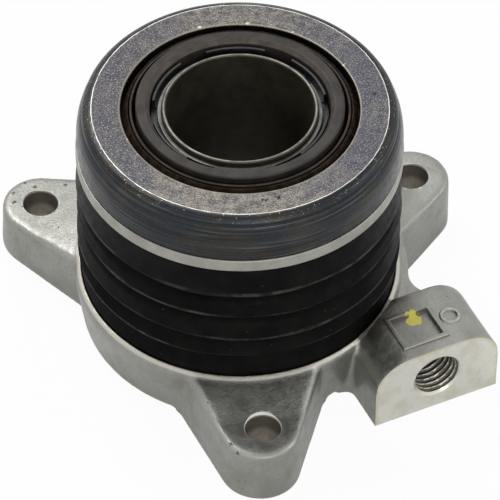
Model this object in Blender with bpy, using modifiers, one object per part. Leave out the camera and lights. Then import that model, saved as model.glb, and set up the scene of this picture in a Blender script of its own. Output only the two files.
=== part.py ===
"""Clutch release bearing with its own ring-shaped hydraulic cylinder.

The bearing sits on a hollow piston that slides on a steel guide sleeve inside a cast
aluminium housing. Oil pressure from the side port lifts the piston, the piston lifts the
bearing, and the bearing presses on the turning clutch fingers. A rubber boot keeps dust out,
a coil spring keeps the bearing lightly against the fingers, and a waved ring lets the
bearing slide a little sideways until it runs true.

All sizes below are in millimetres and are turned into metres where a mesh is made.
Heights are counted from the mounting face, and radii from the axis of the sleeve.
"""

import math

import bmesh
import bpy

MM = 0.001

# Fits
SEAT_GAP = 0.3
SLIDE_GAP = 0.35
FLOAT_TRAVEL = 0.45
FLOAT_SPARE = 0.35
PISTON_TRAVEL = 16.0
EDGE_BREAK = 0.3
EDGE_ROUND = 1.0
CUT_SPARE = 1.0

# Guide sleeve
SLEEVE_BORE_R = 17.4
SLEEVE_WALL = 1.0
SLEEVE_ABOVE_FACE = 0.1
SLEEVE_FLANGE_WIDTH = 4.1
SLEEVE_FLANGE_THICK = 1.5
STOP_RING_DROP = 2.3
STOP_RING_THICK = 1.0
STOP_RING_WIDTH = 1.1
STOP_GROOVE_DEPTH = 0.4
STOP_RING_SPLIT_DEG = 8.0
O_RING_THICK = 1.4
O_RING_Z = 4.2

# Piston and its seal
PISTON_BASE_Z = 24.8
PISTON_WALL = 5.45
PISTON_TONGUE_WIDTH = 1.4
PISTON_TONGUE_LENGTH = 3.0
PISTON_FLANGE_WIDTH = 3.3
PISTON_FLANGE_THICK = 2.8
PISTON_NOSE_WALL = 2.15
FINGER_COUNT = 6
FINGER_ARC_DEG = 40.0
FINGER_FIRST_DEG = 7.8
FINGER_WALL = 0.7
FINGER_BELOW_FACE = 0.1
SEAL_LIP_DROP = 1.4
SEAL_LIP_THICK = 0.9
SEAL_WEB_HALF = 0.6

# Retaining collar and waved ring
COLLAR_WALL = 3.3
COLLAR_ABOVE_FACE = 1.3
COLLAR_EDGE_ROUND = 0.5
WAVE_COUNT = 4
WAVE_THICK = 0.4
WAVE_RISE = 1.2

# Carrier plate and its bright rim
CARRIER_BASE_Z = 52.6
CARRIER_THICK = 2.0
CARRIER_PROUD = 0.2
CARRIER_RIM_HEIGHT = 3.4
CARRIER_RIM_WIDTH = 2.2
CARRIER_LIP_WIDTH = 1.2
CARRIER_LIP_DROP = 3.0

# Ball bearing
BALL_COUNT = 18
BALL_R = 3.175
BALL_FROM_NECK = 4.9
BALL_BED = 1.8
RACE_GAP = 0.325
INNER_FLANGE_THICK = 1.7
INNER_BASE_PAST_PITCH = 1.0
INNER_NECK_WALL = 0.6
INNER_SHOULDER_WALL = 1.1
INNER_SHOULDER_RISE = 4.1
OUTER_FACE_RISE = 7.6
OUTER_FACE_GAP = 2.1
OUTER_FACE_INSET = 3.6
OUTER_WALL = 4.7
OUTER_SHOULDER_ROUND = 2.4
OUTER_GROOVE_DEPTH = 0.25
OUTER_BORE_RISE = 0.7
CAGE_THICK = 1.2
CAGE_REACH_UP = 4.2
CAGE_REACH_DOWN = 2.3
POCKET_GAP = 0.3
UPPER_SEAL_TIP_GAP = 0.4
UPPER_SEAL_FALL = 1.9
UPPER_SEAL_THICK = 0.6
LOWER_SEAL_THICK = 0.7
LOWER_SEAL_LEG = 0.8

# Dust boot, with its ridges as shares of its height
BOOT_PROUD = 0.1
BOOT_FOLD_DEPTH = 2.7
BOOT_FOOT_INSET = 1.1
BOOT_TOP_INSET = 0.4
BOOT_WALL = 1.2
BOOT_CREST_SHARES = (0.782, 0.600, 0.397, 0.264)
BOOT_UNDERCUT = 1.1
BOOT_LIP_RISE = 0.8
BOOT_LIP_ROUND = 0.4
BOOT_SAG_IN = 0.6
BOOT_SAG_DROP = 2.2
BOOT_FOOT_HEIGHT = 4.0

# Preload spring
SPRING_WIRE_R = 1.4
SPRING_CLEARANCE = 1.6
SPRING_TURNS = 4.5
SPRING_POINTS_PER_TURN = 12
SPRING_END_RISE = 3.2

# Housing body
CYLINDER_WALL = 4.0
CHAMBER_FLOOR_Z = 6.0
RECESS_FLOOR_Z = 13.0
BODY_RIM_HEIGHT = 3.6
BODY_DRAFT = 2.0
RIM_WALL = 1.3
SAW_ALLOWANCE = 1.5

# Bolt ears
EAR_COUNT = 3
EAR_PITCH_R = 52.5
EAR_FIRST_DEG = 10.8
EAR_TIP_R = 9.3
EAR_HEIGHT = 14.2
EAR_FLARE_DEG = 20.0
EAR_DRAFT = 0.35
EAR_EDGE_ROUND = 1.6
EAR_HOLE_R = 4.3
EAR_HOLE_CHAMFER = 0.5
EAR_ROOT_ROUND = 3.0

# Hydraulic port
PORT_FACE_Y = 48.9
PORT_AXIS_X = 29.0
PORT_AXIS_Z = 10.1
PORT_WIDTH = 32.4
PORT_HEIGHT = 19.2
PORT_DEPTH = 20.9
PORT_CORNER_ROUND = 8.5
PORT_TAPER = 0.99
PORT_BACK_ROUND = 3.0
PORT_ROOT_ROUND = 2.6
PORT_WEB_PROUD = 1.8
PORT_WEB_ROUND = 6.5
PORT_THREAD_R = 5.46
PORT_THREAD_DEPTH = 14.0
PORT_CHAMFER = 0.8
OIL_DRILL_R = 1.75
OIL_DRILL_END_DEG = -16.0

# Facets round a full turn
SHOWN_FACETS = 30
INNER_FACETS = 24
SMALL_FACETS = 16
ROOT_STEPS = 4

# Radii, worked out from the sleeve outwards
SLEEVE_R = SLEEVE_BORE_R + SLEEVE_WALL
SLEEVE_FLANGE_R = SLEEVE_R + SLEEVE_FLANGE_WIDTH
FLOAT_GAP = FLOAT_TRAVEL + FLOAT_SPARE
PISTON_BORE_R = SLEEVE_R + SLIDE_GAP
PISTON_R = PISTON_BORE_R + PISTON_WALL
PISTON_FLANGE_R = PISTON_R + PISTON_FLANGE_WIDTH
NOSE_R = PISTON_BORE_R + PISTON_NOSE_WALL
COLLAR_BORE_R = NOSE_R + SEAT_GAP
COLLAR_R = COLLAR_BORE_R + COLLAR_WALL
CYLINDER_BORE_R = PISTON_R + SEAT_GAP
TUBE_R = CYLINDER_BORE_R + CYLINDER_WALL
SPRING_MEAN_R = TUBE_R + SPRING_CLEARANCE + SPRING_WIRE_R
CARRIER_BORE_R = NOSE_R + FLOAT_GAP
INNER_NECK_BORE_R = COLLAR_R + FLOAT_GAP
INNER_NECK_R = INNER_NECK_BORE_R + INNER_NECK_WALL
BALL_PITCH_R = INNER_NECK_BORE_R + BALL_FROM_NECK
RACE_R = BALL_R + RACE_GAP
INNER_BASE_R = BALL_PITCH_R + INNER_BASE_PAST_PITCH
OUTER_SKIRT_R = BALL_PITCH_R + RACE_R
OUTER_RING_R = OUTER_SKIRT_R + OUTER_WALL
OUTER_FACE_INNER_R = INNER_NECK_R + OUTER_FACE_GAP
OUTER_FACE_OUTER_R = OUTER_RING_R - OUTER_FACE_INSET
CARRIER_R = OUTER_RING_R + CARRIER_PROUD
BOOT_R = CARRIER_R + BOOT_PROUD
BOOT_VALLEY_R = BOOT_R - BOOT_FOLD_DEPTH
BOOT_FOOT_R = BOOT_R - BOOT_FOOT_INSET
BOOT_TOP_R = CARRIER_R - BOOT_TOP_INSET
RECESS_R = BOOT_FOOT_R + SEAT_GAP
BODY_RIM_R = RECESS_R + RIM_WALL
BODY_BASE_R = BODY_RIM_R - BODY_DRAFT
PORT_WEB_R = BODY_RIM_R + PORT_WEB_PROUD
EAR_ANGLES = [EAR_FIRST_DEG + index * 360.0 / EAR_COUNT for index in range(EAR_COUNT)]

# Heights, worked out from the mounting face and the carrier
BODY_RIM_Z = RECESS_FLOOR_Z + BODY_RIM_HEIGHT
BOOT_FOOT_Z = RECESS_FLOOR_Z + SEAT_GAP
BOOT_TOP_Z = CARRIER_BASE_Z - SEAT_GAP
PISTON_FLANGE_TOP_Z = CARRIER_BASE_Z - SEAT_GAP
PISTON_FLANGE_BASE_Z = PISTON_FLANGE_TOP_Z - PISTON_FLANGE_THICK
PISTON_STEP_Z = PISTON_BASE_Z + PISTON_TONGUE_LENGTH
TUBE_TOP_Z = PISTON_FLANGE_BASE_Z - PISTON_TRAVEL - 2 * SEAT_GAP
CARRIER_TOP_Z = CARRIER_BASE_Z + CARRIER_THICK
CARRIER_RIM_TOP_Z = CARRIER_BASE_Z + CARRIER_RIM_HEIGHT
INNER_BASE_Z = CARRIER_TOP_Z + SEAT_GAP
INNER_FLANGE_TOP_Z = INNER_BASE_Z + INNER_FLANGE_THICK
BALL_Z = INNER_BASE_Z + BALL_BED + RACE_R
INNER_SHOULDER_Z = BALL_Z + INNER_SHOULDER_RISE
OUTER_BASE_Z = CARRIER_RIM_TOP_Z + SEAT_GAP
OUTER_FACE_Z = BALL_Z + OUTER_FACE_RISE
UPPER_SEAL_TOP_Z = OUTER_FACE_Z - EDGE_BREAK
UPPER_SEAL_TIP_Z = UPPER_SEAL_TOP_Z - UPPER_SEAL_FALL
COLLAR_TOP_Z = OUTER_FACE_Z + COLLAR_ABOVE_FACE
WAVE_BASE_Z = INNER_FLANGE_TOP_Z + SEAT_GAP
COLLAR_BASE_Z = WAVE_BASE_Z + WAVE_RISE + WAVE_THICK + SEAT_GAP
SLEEVE_TOP_Z = OUTER_FACE_Z + SLEEVE_ABOVE_FACE
STOP_RING_Z = SLEEVE_TOP_Z - STOP_RING_DROP
NOSE_TOP_Z = STOP_RING_Z - SEAT_GAP
FINGER_TOP_Z = OUTER_FACE_Z - FINGER_BELOW_FACE


def clear_scene():
    for obj in list(bpy.data.objects):
        bpy.data.objects.remove(obj, do_unlink=True)


def new_collection(name):
    collection = bpy.data.collections.new(name)
    bpy.context.scene.collection.children.link(collection)
    return collection


def new_material(name, colour, roughness, metallic):
    material = bpy.data.materials.new(name)
    material.use_nodes = True
    shader = material.node_tree.nodes["Principled BSDF"]
    shader.inputs["Base Color"].default_value = (*colour, 1.0)
    shader.inputs["Roughness"].default_value = roughness
    shader.inputs["Metallic"].default_value = metallic
    material.diffuse_color = (*colour, 1.0)
    return material


def polar(radius, angle_deg):
    angle = math.radians(angle_deg)
    return radius * math.cos(angle), radius * math.sin(angle)


def arc(centre, radius, start_deg, end_deg, steps):
    """Points of an arc, both ends included."""
    points = []
    for step in range(steps + 1):
        x, y = polar(radius, start_deg + (end_deg - start_deg) * step / steps)
        points.append((centre[0] + x, centre[1] + y))
    return points


def signed_area(points):
    total = 0.0
    for (x0, y0), (x1, y1) in zip(points, points[1:] + points[:1]):
        total += x0 * y1 - x1 * y0
    return total / 2


def ear_extent():
    """Half-way point in plan of the box that holds the ears, the body and the port."""
    tips = [polar(EAR_PITCH_R, angle) for angle in EAR_ANGLES]
    port_right = PORT_AXIS_X + PORT_WIDTH / 2
    right = max([x + EAR_TIP_R for x, y in tips] + [BODY_RIM_R, port_right])
    left = min([x - EAR_TIP_R for x, y in tips] + [-BODY_RIM_R])
    back = max([y + EAR_TIP_R for x, y in tips] + [BODY_RIM_R])
    front = min([y - EAR_TIP_R for x, y in tips] + [-BODY_RIM_R, -PORT_FACE_Y])
    return (left + right) / 2, (front + back) / 2


class Workshop:
    """Holds the collections and the empty on the bearing axis that every piece hangs from."""

    def __init__(self):
        self.parts = new_collection("clutch_release_bearing")
        self.cutters = new_collection("cutters")
        self.cutters.hide_render = True
        middle_x, middle_y = ear_extent()
        self.axis = bpy.data.objects.new("bearing_axis", None)
        self.axis.location = (-middle_x * MM, -middle_y * MM, 0.0)
        self.parts.objects.link(self.axis)

    def place(self, obj, material):
        obj.data.materials.append(material)
        obj.parent = self.axis
        self.parts.objects.link(obj)
        return obj

    def place_cutter(self, obj):
        obj.parent = self.axis
        obj.hide_render = True
        obj.display_type = "WIRE"
        self.cutters.objects.link(obj)
        return obj


def turned(name, profile, facets):
    """A solid turned from a closed profile of (radius, height) points."""
    points = list(profile)
    if signed_area(points) > 0:
        points.reverse()
    mesh = bpy.data.meshes.new(name)
    corners = [(radius * MM, 0.0, height * MM) for radius, height in points]
    edges = [(index, (index + 1) % len(points)) for index in range(len(points))]
    on_axis = [radius < 1e-6 for radius, height in points]
    edges = [pair for pair in edges if not (on_axis[pair[0]] and on_axis[pair[1]])]
    mesh.from_pydata(corners, edges, [])
    obj = bpy.data.objects.new(name, mesh)
    screw = obj.modifiers.new("Turn", "SCREW")
    screw.axis = "Z"
    screw.angle = 2 * math.pi
    screw.steps = facets
    screw.render_steps = facets
    screw.use_merge_vertices = True
    screw.merge_threshold = 0.00001
    screw.use_smooth_shade = True
    return obj


def prism(name, outline, base, height, taper=1.0, top_bevel=0.0):
    """A flat outline pulled up from base by height, its top scaled by taper and softened."""
    points = list(outline)
    if signed_area(points) < 0:
        points.reverse()
    shape = bmesh.new()
    weight = shape.edges.layers.float.new("bevel_weight_edge")
    corners = [shape.verts.new((x * MM, y * MM, base * MM)) for x, y in points]
    floor = shape.faces.new(corners)
    made = bmesh.ops.extrude_face_region(shape, geom=[floor])["geom"]
    top = [item for item in made if isinstance(item, bmesh.types.BMVert)]
    middle_x = sum(vert.co.x for vert in top) / len(top)
    middle_y = sum(vert.co.y for vert in top) / len(top)
    for vert in top:
        vert.co.z += height * MM
        vert.co.x = middle_x + (vert.co.x - middle_x) * taper
        vert.co.y = middle_y + (vert.co.y - middle_y) * taper
    for item in made:
        if isinstance(item, bmesh.types.BMEdge):
            item[weight] = 1.0
    bmesh.ops.recalc_face_normals(shape, faces=shape.faces)
    mesh = bpy.data.meshes.new(name)
    shape.to_mesh(mesh)
    shape.free()
    obj = bpy.data.objects.new(name, mesh)
    if top_bevel > 0:
        bevel = obj.modifiers.new("Soft edge", "BEVEL")
        bevel.limit_method = "WEIGHT"
        bevel.width = top_bevel * MM
        bevel.segments = 2
    return obj


def boolean(obj, other, operation):
    change = obj.modifiers.new(f"{operation.title()} {other.name}", "BOOLEAN")
    change.operation = operation
    change.solver = "EXACT"
    change.object = other


def root_round(wall_point, wall_deg, side, circle_r, radius):
    """Arc of the hollow corner between a straight wall and the round body, in plan.

    The wall passes through wall_point and leads away from the body at wall_deg. The hollow
    lies on the left of that direction when side is 1, on its right when side is -1. The
    arc runs from the wall to the body.
    """
    dx, dy = polar(1.0, wall_deg)
    nx, ny = -dy * side, dx * side
    start_x = wall_point[0] + nx * radius
    start_y = wall_point[1] + ny * radius
    along = start_x * dx + start_y * dy
    off = start_x * -dy + start_y * dx
    step = math.sqrt((circle_r + radius) ** 2 - off ** 2) - along
    centre = (start_x + dx * step, start_y + dy * step)
    on_wall = math.degrees(math.atan2(-ny, -nx))
    on_body = math.degrees(math.atan2(-centre[1], -centre[0]))
    sweep = (on_body - on_wall + 180.0) % 360.0 - 180.0
    return arc(centre, radius, on_wall, on_wall + sweep, ROOT_STEPS)


def deeper(point, radius):
    """The same direction from the axis as point, at another radius."""
    scale = radius / math.hypot(*point)
    return point[0] * scale, point[1] * scale


def ear_outline(angle_deg):
    """Round tip, flanks that widen towards the body, and hollow roots at the body."""
    cut = 90.0 - EAR_FLARE_DEG
    tip = arc((EAR_PITCH_R, 0.0), EAR_TIP_R, -cut, cut, 3 * ROOT_STEPS)
    upper = root_round(tip[-1], -EAR_FLARE_DEG, 1, BODY_BASE_R, EAR_ROOT_ROUND)
    lower = [(x, -y) for x, y in reversed(upper)]
    inner = BODY_BASE_R * 0.7
    points = tip + upper + [deeper(upper[-1], inner), deeper(lower[0], inner)] + lower
    cos, sin = polar(1.0, angle_deg)
    return [(x * cos - y * sin, x * sin + y * cos) for x, y in points]


def body_core():
    """The turned heart of the casting: base, boot recess, cylinder tube and sleeve seat."""
    flange_seat_z = SLEEVE_FLANGE_THICK + 2 * SEAT_GAP
    web_bore_r = SLEEVE_R + SEAT_GAP
    groove_r = web_bore_r + O_RING_THICK + SEAT_GAP
    groove_half = O_RING_THICK / 2 + SEAT_GAP
    return [
        (CYLINDER_BORE_R + EDGE_ROUND, TUBE_TOP_Z),
        (TUBE_R - EDGE_ROUND / 2, TUBE_TOP_Z),
        (TUBE_R, TUBE_TOP_Z - EDGE_ROUND / 2),
        (TUBE_R, RECESS_FLOOR_Z),
        (RECESS_R, RECESS_FLOOR_Z),
        (RECESS_R, BODY_RIM_Z - EDGE_BREAK),
        (RECESS_R + EDGE_BREAK, BODY_RIM_Z),
        (BODY_RIM_R - EDGE_BREAK, BODY_RIM_Z),
        (BODY_RIM_R, BODY_RIM_Z - EDGE_BREAK),
        (BODY_RIM_R, EAR_HEIGHT - EDGE_ROUND),
        (BODY_BASE_R, -SAW_ALLOWANCE),
        (SLEEVE_FLANGE_R + SEAT_GAP, -SAW_ALLOWANCE),
        (SLEEVE_FLANGE_R + SEAT_GAP, flange_seat_z),
        (web_bore_r, flange_seat_z),
        (web_bore_r, O_RING_Z - groove_half),
        (groove_r, O_RING_Z - groove_half),
        (groove_r, O_RING_Z + groove_half),
        (web_bore_r, O_RING_Z + groove_half),
        (web_bore_r, CHAMBER_FLOOR_Z),
        (CYLINDER_BORE_R, CHAMBER_FLOOR_Z),
        (CYLINDER_BORE_R, TUBE_TOP_Z - EDGE_ROUND),
    ]


def body_clearance(shop):
    """Keeps ears and port out of the boot recess: it ends inside the body's own wall."""
    above = PORT_HEIGHT + 5 * CUT_SPARE
    step_z = BODY_RIM_Z - EDGE_BREAK
    in_wall = RECESS_R + RIM_WALL * 0.4
    in_base = BODY_BASE_R - 3 * CUT_SPARE
    profile = [
        (0.0, above),
        (BODY_RIM_R + SEAT_GAP, above),
        (BODY_RIM_R + SEAT_GAP, step_z),
        (in_wall, step_z),
        (in_wall, RECESS_FLOOR_Z - CUT_SPARE),
        (in_base, RECESS_FLOOR_Z - 2 * CUT_SPARE),
        (in_base, -2.0 * SAW_ALLOWANCE),
        (0.0, -2.0 * SAW_ALLOWANCE),
    ]
    return shop.place_cutter(turned("body_clearance", profile, SHOWN_FACETS))


def port_outline():
    """The arched front of the port boss, as (sideways, height)."""
    left = PORT_AXIS_X - PORT_WIDTH / 2
    right = PORT_AXIS_X + PORT_WIDTH / 2
    shoulder = PORT_HEIGHT - PORT_CORNER_ROUND
    foot = -PORT_BACK_ROUND - EDGE_BREAK
    steps = ROOT_STEPS + 1
    right_arc = arc((right - PORT_CORNER_ROUND, shoulder), PORT_CORNER_ROUND, 0, 90, steps)
    left_arc = arc((left + PORT_CORNER_ROUND, shoulder), PORT_CORNER_ROUND, 90, 180, steps)
    return [(left, foot), (right, foot)] + right_arc + left_arc


def port_boss(shop):
    """An arched block, drawn standing up and then laid down so that its base is the front."""
    obj = prism("port_boss", port_outline(), 0.0, PORT_DEPTH, PORT_TAPER, PORT_BACK_ROUND)
    for vert in obj.data.vertices:
        x, height, depth = vert.co
        vert.co = (x, depth - PORT_FACE_Y * MM, height)
    obj.data.flip_normals()
    return shop.place_cutter(obj)


def hole_cutter(shop, name, radius, bottom, top, chamfer):
    """A plug for a through hole with both of its mouths widened by chamfer."""
    wide = radius + chamfer + CUT_SPARE
    profile = [
        (0.0, top + CUT_SPARE),
        (wide, top + CUT_SPARE),
        (radius, top - chamfer),
        (radius, bottom + chamfer),
        (wide, bottom - CUT_SPARE),
        (0.0, bottom - CUT_SPARE),
    ]
    return shop.place_cutter(turned(name, profile, SMALL_FACETS))


def port_bore(shop):
    """The threaded hole at its crest size, with its conical mouth and drill point."""
    wide = PORT_THREAD_R + PORT_CHAMFER + CUT_SPARE
    profile = [
        (0.0, CUT_SPARE),
        (wide, CUT_SPARE),
        (PORT_THREAD_R, -PORT_CHAMFER),
        (PORT_THREAD_R, -PORT_THREAD_DEPTH),
        (0.0, -PORT_THREAD_DEPTH - PORT_THREAD_R * 0.5),
    ]
    obj = turned("port_bore", profile, INNER_FACETS)
    obj.rotation_euler = (math.radians(90), 0.0, 0.0)
    obj.location = (PORT_AXIS_X * MM, -PORT_FACE_Y * MM, PORT_AXIS_Z * MM)
    return shop.place_cutter(obj)


def oil_drilling(shop):
    """The slanting drilling from the bottom of the port into the pressure chamber."""
    start_y = -PORT_FACE_Y + PORT_THREAD_DEPTH
    end_x, end_y = polar(CYLINDER_BORE_R - CUT_SPARE, OIL_DRILL_END_DEG)
    run_x = end_x - PORT_AXIS_X
    run_y = end_y - start_y
    length = math.hypot(run_x, run_y)
    profile = [(0.0, length), (OIL_DRILL_R, length), (OIL_DRILL_R, 0.0), (0.0, 0.0)]
    obj = turned("oil_drilling", profile, SMALL_FACETS)
    obj.rotation_euler = (math.radians(-90), 0.0, math.atan2(-run_x, run_y))
    obj.location = (PORT_AXIS_X * MM, start_y * MM, PORT_AXIS_Z * MM)
    return shop.place_cutter(obj)


def port_foot(shop):
    """Lower storey of the port boss, with the hollow corners that lead into the body."""
    sunk = SEAT_GAP / 2
    left = PORT_AXIS_X - PORT_WIDTH / 2 + sunk
    right = PORT_AXIS_X + PORT_WIDTH / 2 - sunk
    front = -PORT_FACE_Y + sunk
    back = -PORT_FACE_Y + PORT_DEPTH - sunk
    notch = root_round((left, front), -90.0, -1, BODY_BASE_R, PORT_ROOT_ROUND)
    web = root_round((right, back), 0.0, 1, PORT_WEB_R, PORT_WEB_ROUND)
    web_end = math.degrees(math.atan2(web[-1][1], web[-1][0]))
    rim = arc((0.0, 0.0), PORT_WEB_R, web_end, EAR_FIRST_DEG - EAR_FLARE_DEG, ROOT_STEPS)
    inner = BODY_BASE_R * 0.7
    points = [(left, front), (right, front), (right - PORT_BACK_ROUND, back)] + web + rim[1:]
    points += [deeper(rim[-1], inner), deeper(notch[-1], inner)] + notch[::-1]
    height = EAR_HEIGHT - sunk + SAW_ALLOWANCE
    return shop.place_cutter(prism("port_foot", points, -SAW_ALLOWANCE, height))


def base_saw(shop):
    """A slab that takes the casting's allowance off its foot and leaves the flat mounting face."""
    reach = EAR_PITCH_R + 2 * EAR_TIP_R
    corners = [(-reach, -reach), (reach, -reach), (reach, reach), (-reach, reach)]
    return shop.place_cutter(prism("base_saw", corners, -3 * SAW_ALLOWANCE, 3 * SAW_ALLOWANCE))


def housing(shop, material):
    """The aluminium casting with three bolt ears and the port boss."""
    obj = turned("housing", body_core(), SHOWN_FACETS)
    clearance = body_clearance(shop)
    additions = []
    for index, angle in enumerate(EAR_ANGLES):
        outline = ear_outline(angle)
        ear = prism(f"ear_{index}", outline, -SAW_ALLOWANCE, EAR_HEIGHT + SAW_ALLOWANCE,
                    1 - EAR_DRAFT / EAR_TIP_R, EAR_EDGE_ROUND)
        additions.append(shop.place_cutter(ear))
    additions.append(port_boss(shop))
    additions.append(port_foot(shop))
    for addition in additions:
        boolean(addition, clearance, "DIFFERENCE")
        boolean(obj, addition, "UNION")
    boolean(obj, base_saw(shop), "DIFFERENCE")
    for index, angle in enumerate(EAR_ANGLES):
        hole = hole_cutter(shop, f"ear_hole_{index}", EAR_HOLE_R, 0.0, EAR_HEIGHT,
                           EAR_HOLE_CHAMFER)
        x, y = polar(EAR_PITCH_R, angle)
        hole.location = (x * MM, y * MM, 0.0)
        boolean(obj, hole, "DIFFERENCE")
    boolean(obj, port_bore(shop), "DIFFERENCE")
    boolean(obj, oil_drilling(shop), "DIFFERENCE")
    return shop.place(obj, material)


def guide_sleeve(shop, material):
    """Thin steel tube with a foot flange and a groove for the stop ring."""
    lip = SLEEVE_WALL / 2
    base = SEAT_GAP
    groove_base = STOP_RING_Z - SEAT_GAP
    groove_top = STOP_RING_Z + STOP_RING_THICK + SEAT_GAP
    groove_r = SLEEVE_R - STOP_GROOVE_DEPTH
    profile = arc((SLEEVE_BORE_R + lip, SLEEVE_TOP_Z - lip), lip, 180, 0, 3)
    profile += [
        (SLEEVE_R, groove_top),
        (groove_r, groove_top),
        (groove_r, groove_base),
        (SLEEVE_R, groove_base),
        (SLEEVE_R, base + SLEEVE_FLANGE_THICK),
        (SLEEVE_FLANGE_R, base + SLEEVE_FLANGE_THICK),
        (SLEEVE_FLANGE_R, base),
        (SLEEVE_BORE_R + EDGE_ROUND / 2, base),
        (SLEEVE_BORE_R, base + EDGE_ROUND / 2),
    ]
    return shop.place(turned("guide_sleeve", profile, SHOWN_FACETS), material)


def sleeve_o_ring(shop, material):
    """Static seal between the sleeve and the floor of the pressure chamber."""
    radius = O_RING_THICK / 2
    centre = (SLEEVE_R + SEAT_GAP + radius, O_RING_Z)
    profile = arc(centre, radius, 0, 360, 6)[:-1]
    return shop.place(turned("sleeve_o_ring", profile, INNER_FACETS), material)


def wedge(shop, name, radius, base, top, centre_deg, width_deg):
    """A wedge that opens a ring over width_deg."""
    half = width_deg / 2
    outline = [(0.0, 0.0), polar(radius, centre_deg - half), polar(radius, centre_deg + half)]
    return shop.place_cutter(prism(name, outline, base, top - base))


def sleeve_stop_ring(shop, material):
    """Split wire ring in the sleeve's groove that stops the piston."""
    inner = SLEEVE_R - STOP_GROOVE_DEPTH + SEAT_GAP
    outer = inner + STOP_RING_WIDTH
    top = STOP_RING_Z + STOP_RING_THICK
    profile = [(inner, top), (outer, top), (outer, STOP_RING_Z), (inner, STOP_RING_Z)]
    obj = turned("sleeve_stop_ring", profile, INNER_FACETS)
    split = wedge(shop, "stop_ring_split", 2 * outer, STOP_RING_Z - CUT_SPARE, top + CUT_SPARE,
                  FINGER_FIRST_DEG, STOP_RING_SPLIT_DEG)
    boolean(obj, split, "DIFFERENCE")
    return shop.place(obj, material)


def piston_profile():
    """Hollow piston: seal tongue, long skirt, carrying flange and nose."""
    tongue_middle = (PISTON_BORE_R + PISTON_R) / 2
    tongue_in = tongue_middle - PISTON_TONGUE_WIDTH / 2
    tongue_out = tongue_middle + PISTON_TONGUE_WIDTH / 2
    return [
        (NOSE_R - FINGER_WALL, FINGER_TOP_Z),
        (NOSE_R, FINGER_TOP_Z),
        (NOSE_R, PISTON_FLANGE_TOP_Z),
        (PISTON_FLANGE_R, PISTON_FLANGE_TOP_Z),
        (PISTON_FLANGE_R, PISTON_FLANGE_BASE_Z),
        (PISTON_R, PISTON_FLANGE_BASE_Z),
        (PISTON_R, PISTON_STEP_Z),
        (tongue_out, PISTON_STEP_Z),
        (tongue_out, PISTON_BASE_Z),
        (tongue_in, PISTON_BASE_Z),
        (tongue_in, PISTON_STEP_Z),
        (PISTON_BORE_R, PISTON_STEP_Z),
        (PISTON_BORE_R, NOSE_TOP_Z),
        (NOSE_R - FINGER_WALL, NOSE_TOP_Z),
    ]


def piston(shop, material):
    """Plastic piston whose nose ends in spring fingers with gaps between them."""
    obj = turned("piston", piston_profile(), INNER_FACETS)
    step = 360.0 / FINGER_COUNT
    for index in range(FINGER_COUNT):
        middle = FINGER_FIRST_DEG + (index + 0.5) * step
        gap = wedge(shop, f"finger_gap_{index}", 2 * NOSE_R, NOSE_TOP_Z - SEAT_GAP,
                    FINGER_TOP_Z + CUT_SPARE, middle, step - FINGER_ARC_DEG)
        boolean(obj, gap, "DIFFERENCE")
    return shop.place(obj, material)


def piston_seal(shop, material):
    """Lip seal hooked on the piston's tongue, its two lips facing the oil."""
    inner = PISTON_BORE_R
    outer = PISTON_R
    middle = (inner + outer) / 2
    slot = PISTON_TONGUE_WIDTH / 2 + SEAT_GAP
    top = PISTON_STEP_Z - SEAT_GAP
    slot_z = PISTON_BASE_Z - SEAT_GAP
    web_z = slot_z - SEAL_LIP_THICK
    lip_z = web_z - SEAL_LIP_DROP
    profile = [
        (middle + slot, top),
        (outer - SEAT_GAP, top),
        (outer, lip_z),
        (outer - SEAL_LIP_THICK, lip_z),
        (middle + SEAL_WEB_HALF, web_z),
        (middle - SEAL_WEB_HALF, web_z),
        (inner + SEAL_LIP_THICK, lip_z),
        (inner, lip_z),
        (inner + SEAT_GAP, top),
        (middle - slot, top),
        (middle - slot, slot_z),
        (middle + slot, slot_z),
    ]
    return shop.place(turned("piston_seal", profile, INNER_FACETS), material)


def retaining_collar(shop, material):
    """Ring pressed on the piston's nose that keeps the bearing from lifting off."""
    edge = COLLAR_EDGE_ROUND
    profile = [
        (COLLAR_BORE_R + 2 * edge, COLLAR_TOP_Z),
        (COLLAR_R - edge, COLLAR_TOP_Z),
        (COLLAR_R, COLLAR_TOP_Z - edge),
        (COLLAR_R, COLLAR_BASE_Z),
        (COLLAR_BORE_R, COLLAR_BASE_Z),
        (COLLAR_BORE_R, COLLAR_TOP_Z - 2 * edge),
    ]
    return shop.place(turned("retaining_collar", profile, SHOWN_FACETS), material)


def wave_spring(shop, material):
    """Waved ring that presses the bearing lightly down on its carrier."""
    inner = COLLAR_BORE_R + SEAT_GAP
    outer = COLLAR_R - SEAT_GAP
    profile = [
        (inner, WAVE_BASE_Z + WAVE_THICK),
        (outer, WAVE_BASE_Z + WAVE_THICK),
        (outer, WAVE_BASE_Z),
        (inner, WAVE_BASE_Z),
    ]
    flat = turned("wave_spring", profile, INNER_FACETS)
    bpy.context.scene.collection.objects.link(flat)
    bpy.context.view_layer.update()
    seen = flat.evaluated_get(bpy.context.evaluated_depsgraph_get())
    mesh = bpy.data.meshes.new_from_object(seen)
    bpy.data.objects.remove(flat, do_unlink=True)
    for vert in mesh.vertices:
        turn = math.atan2(vert.co.y, vert.co.x)
        vert.co.z += WAVE_RISE * MM * (1 - math.cos(WAVE_COUNT * turn)) / 2
    return shop.place(bpy.data.objects.new("wave_spring", mesh), material)


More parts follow.
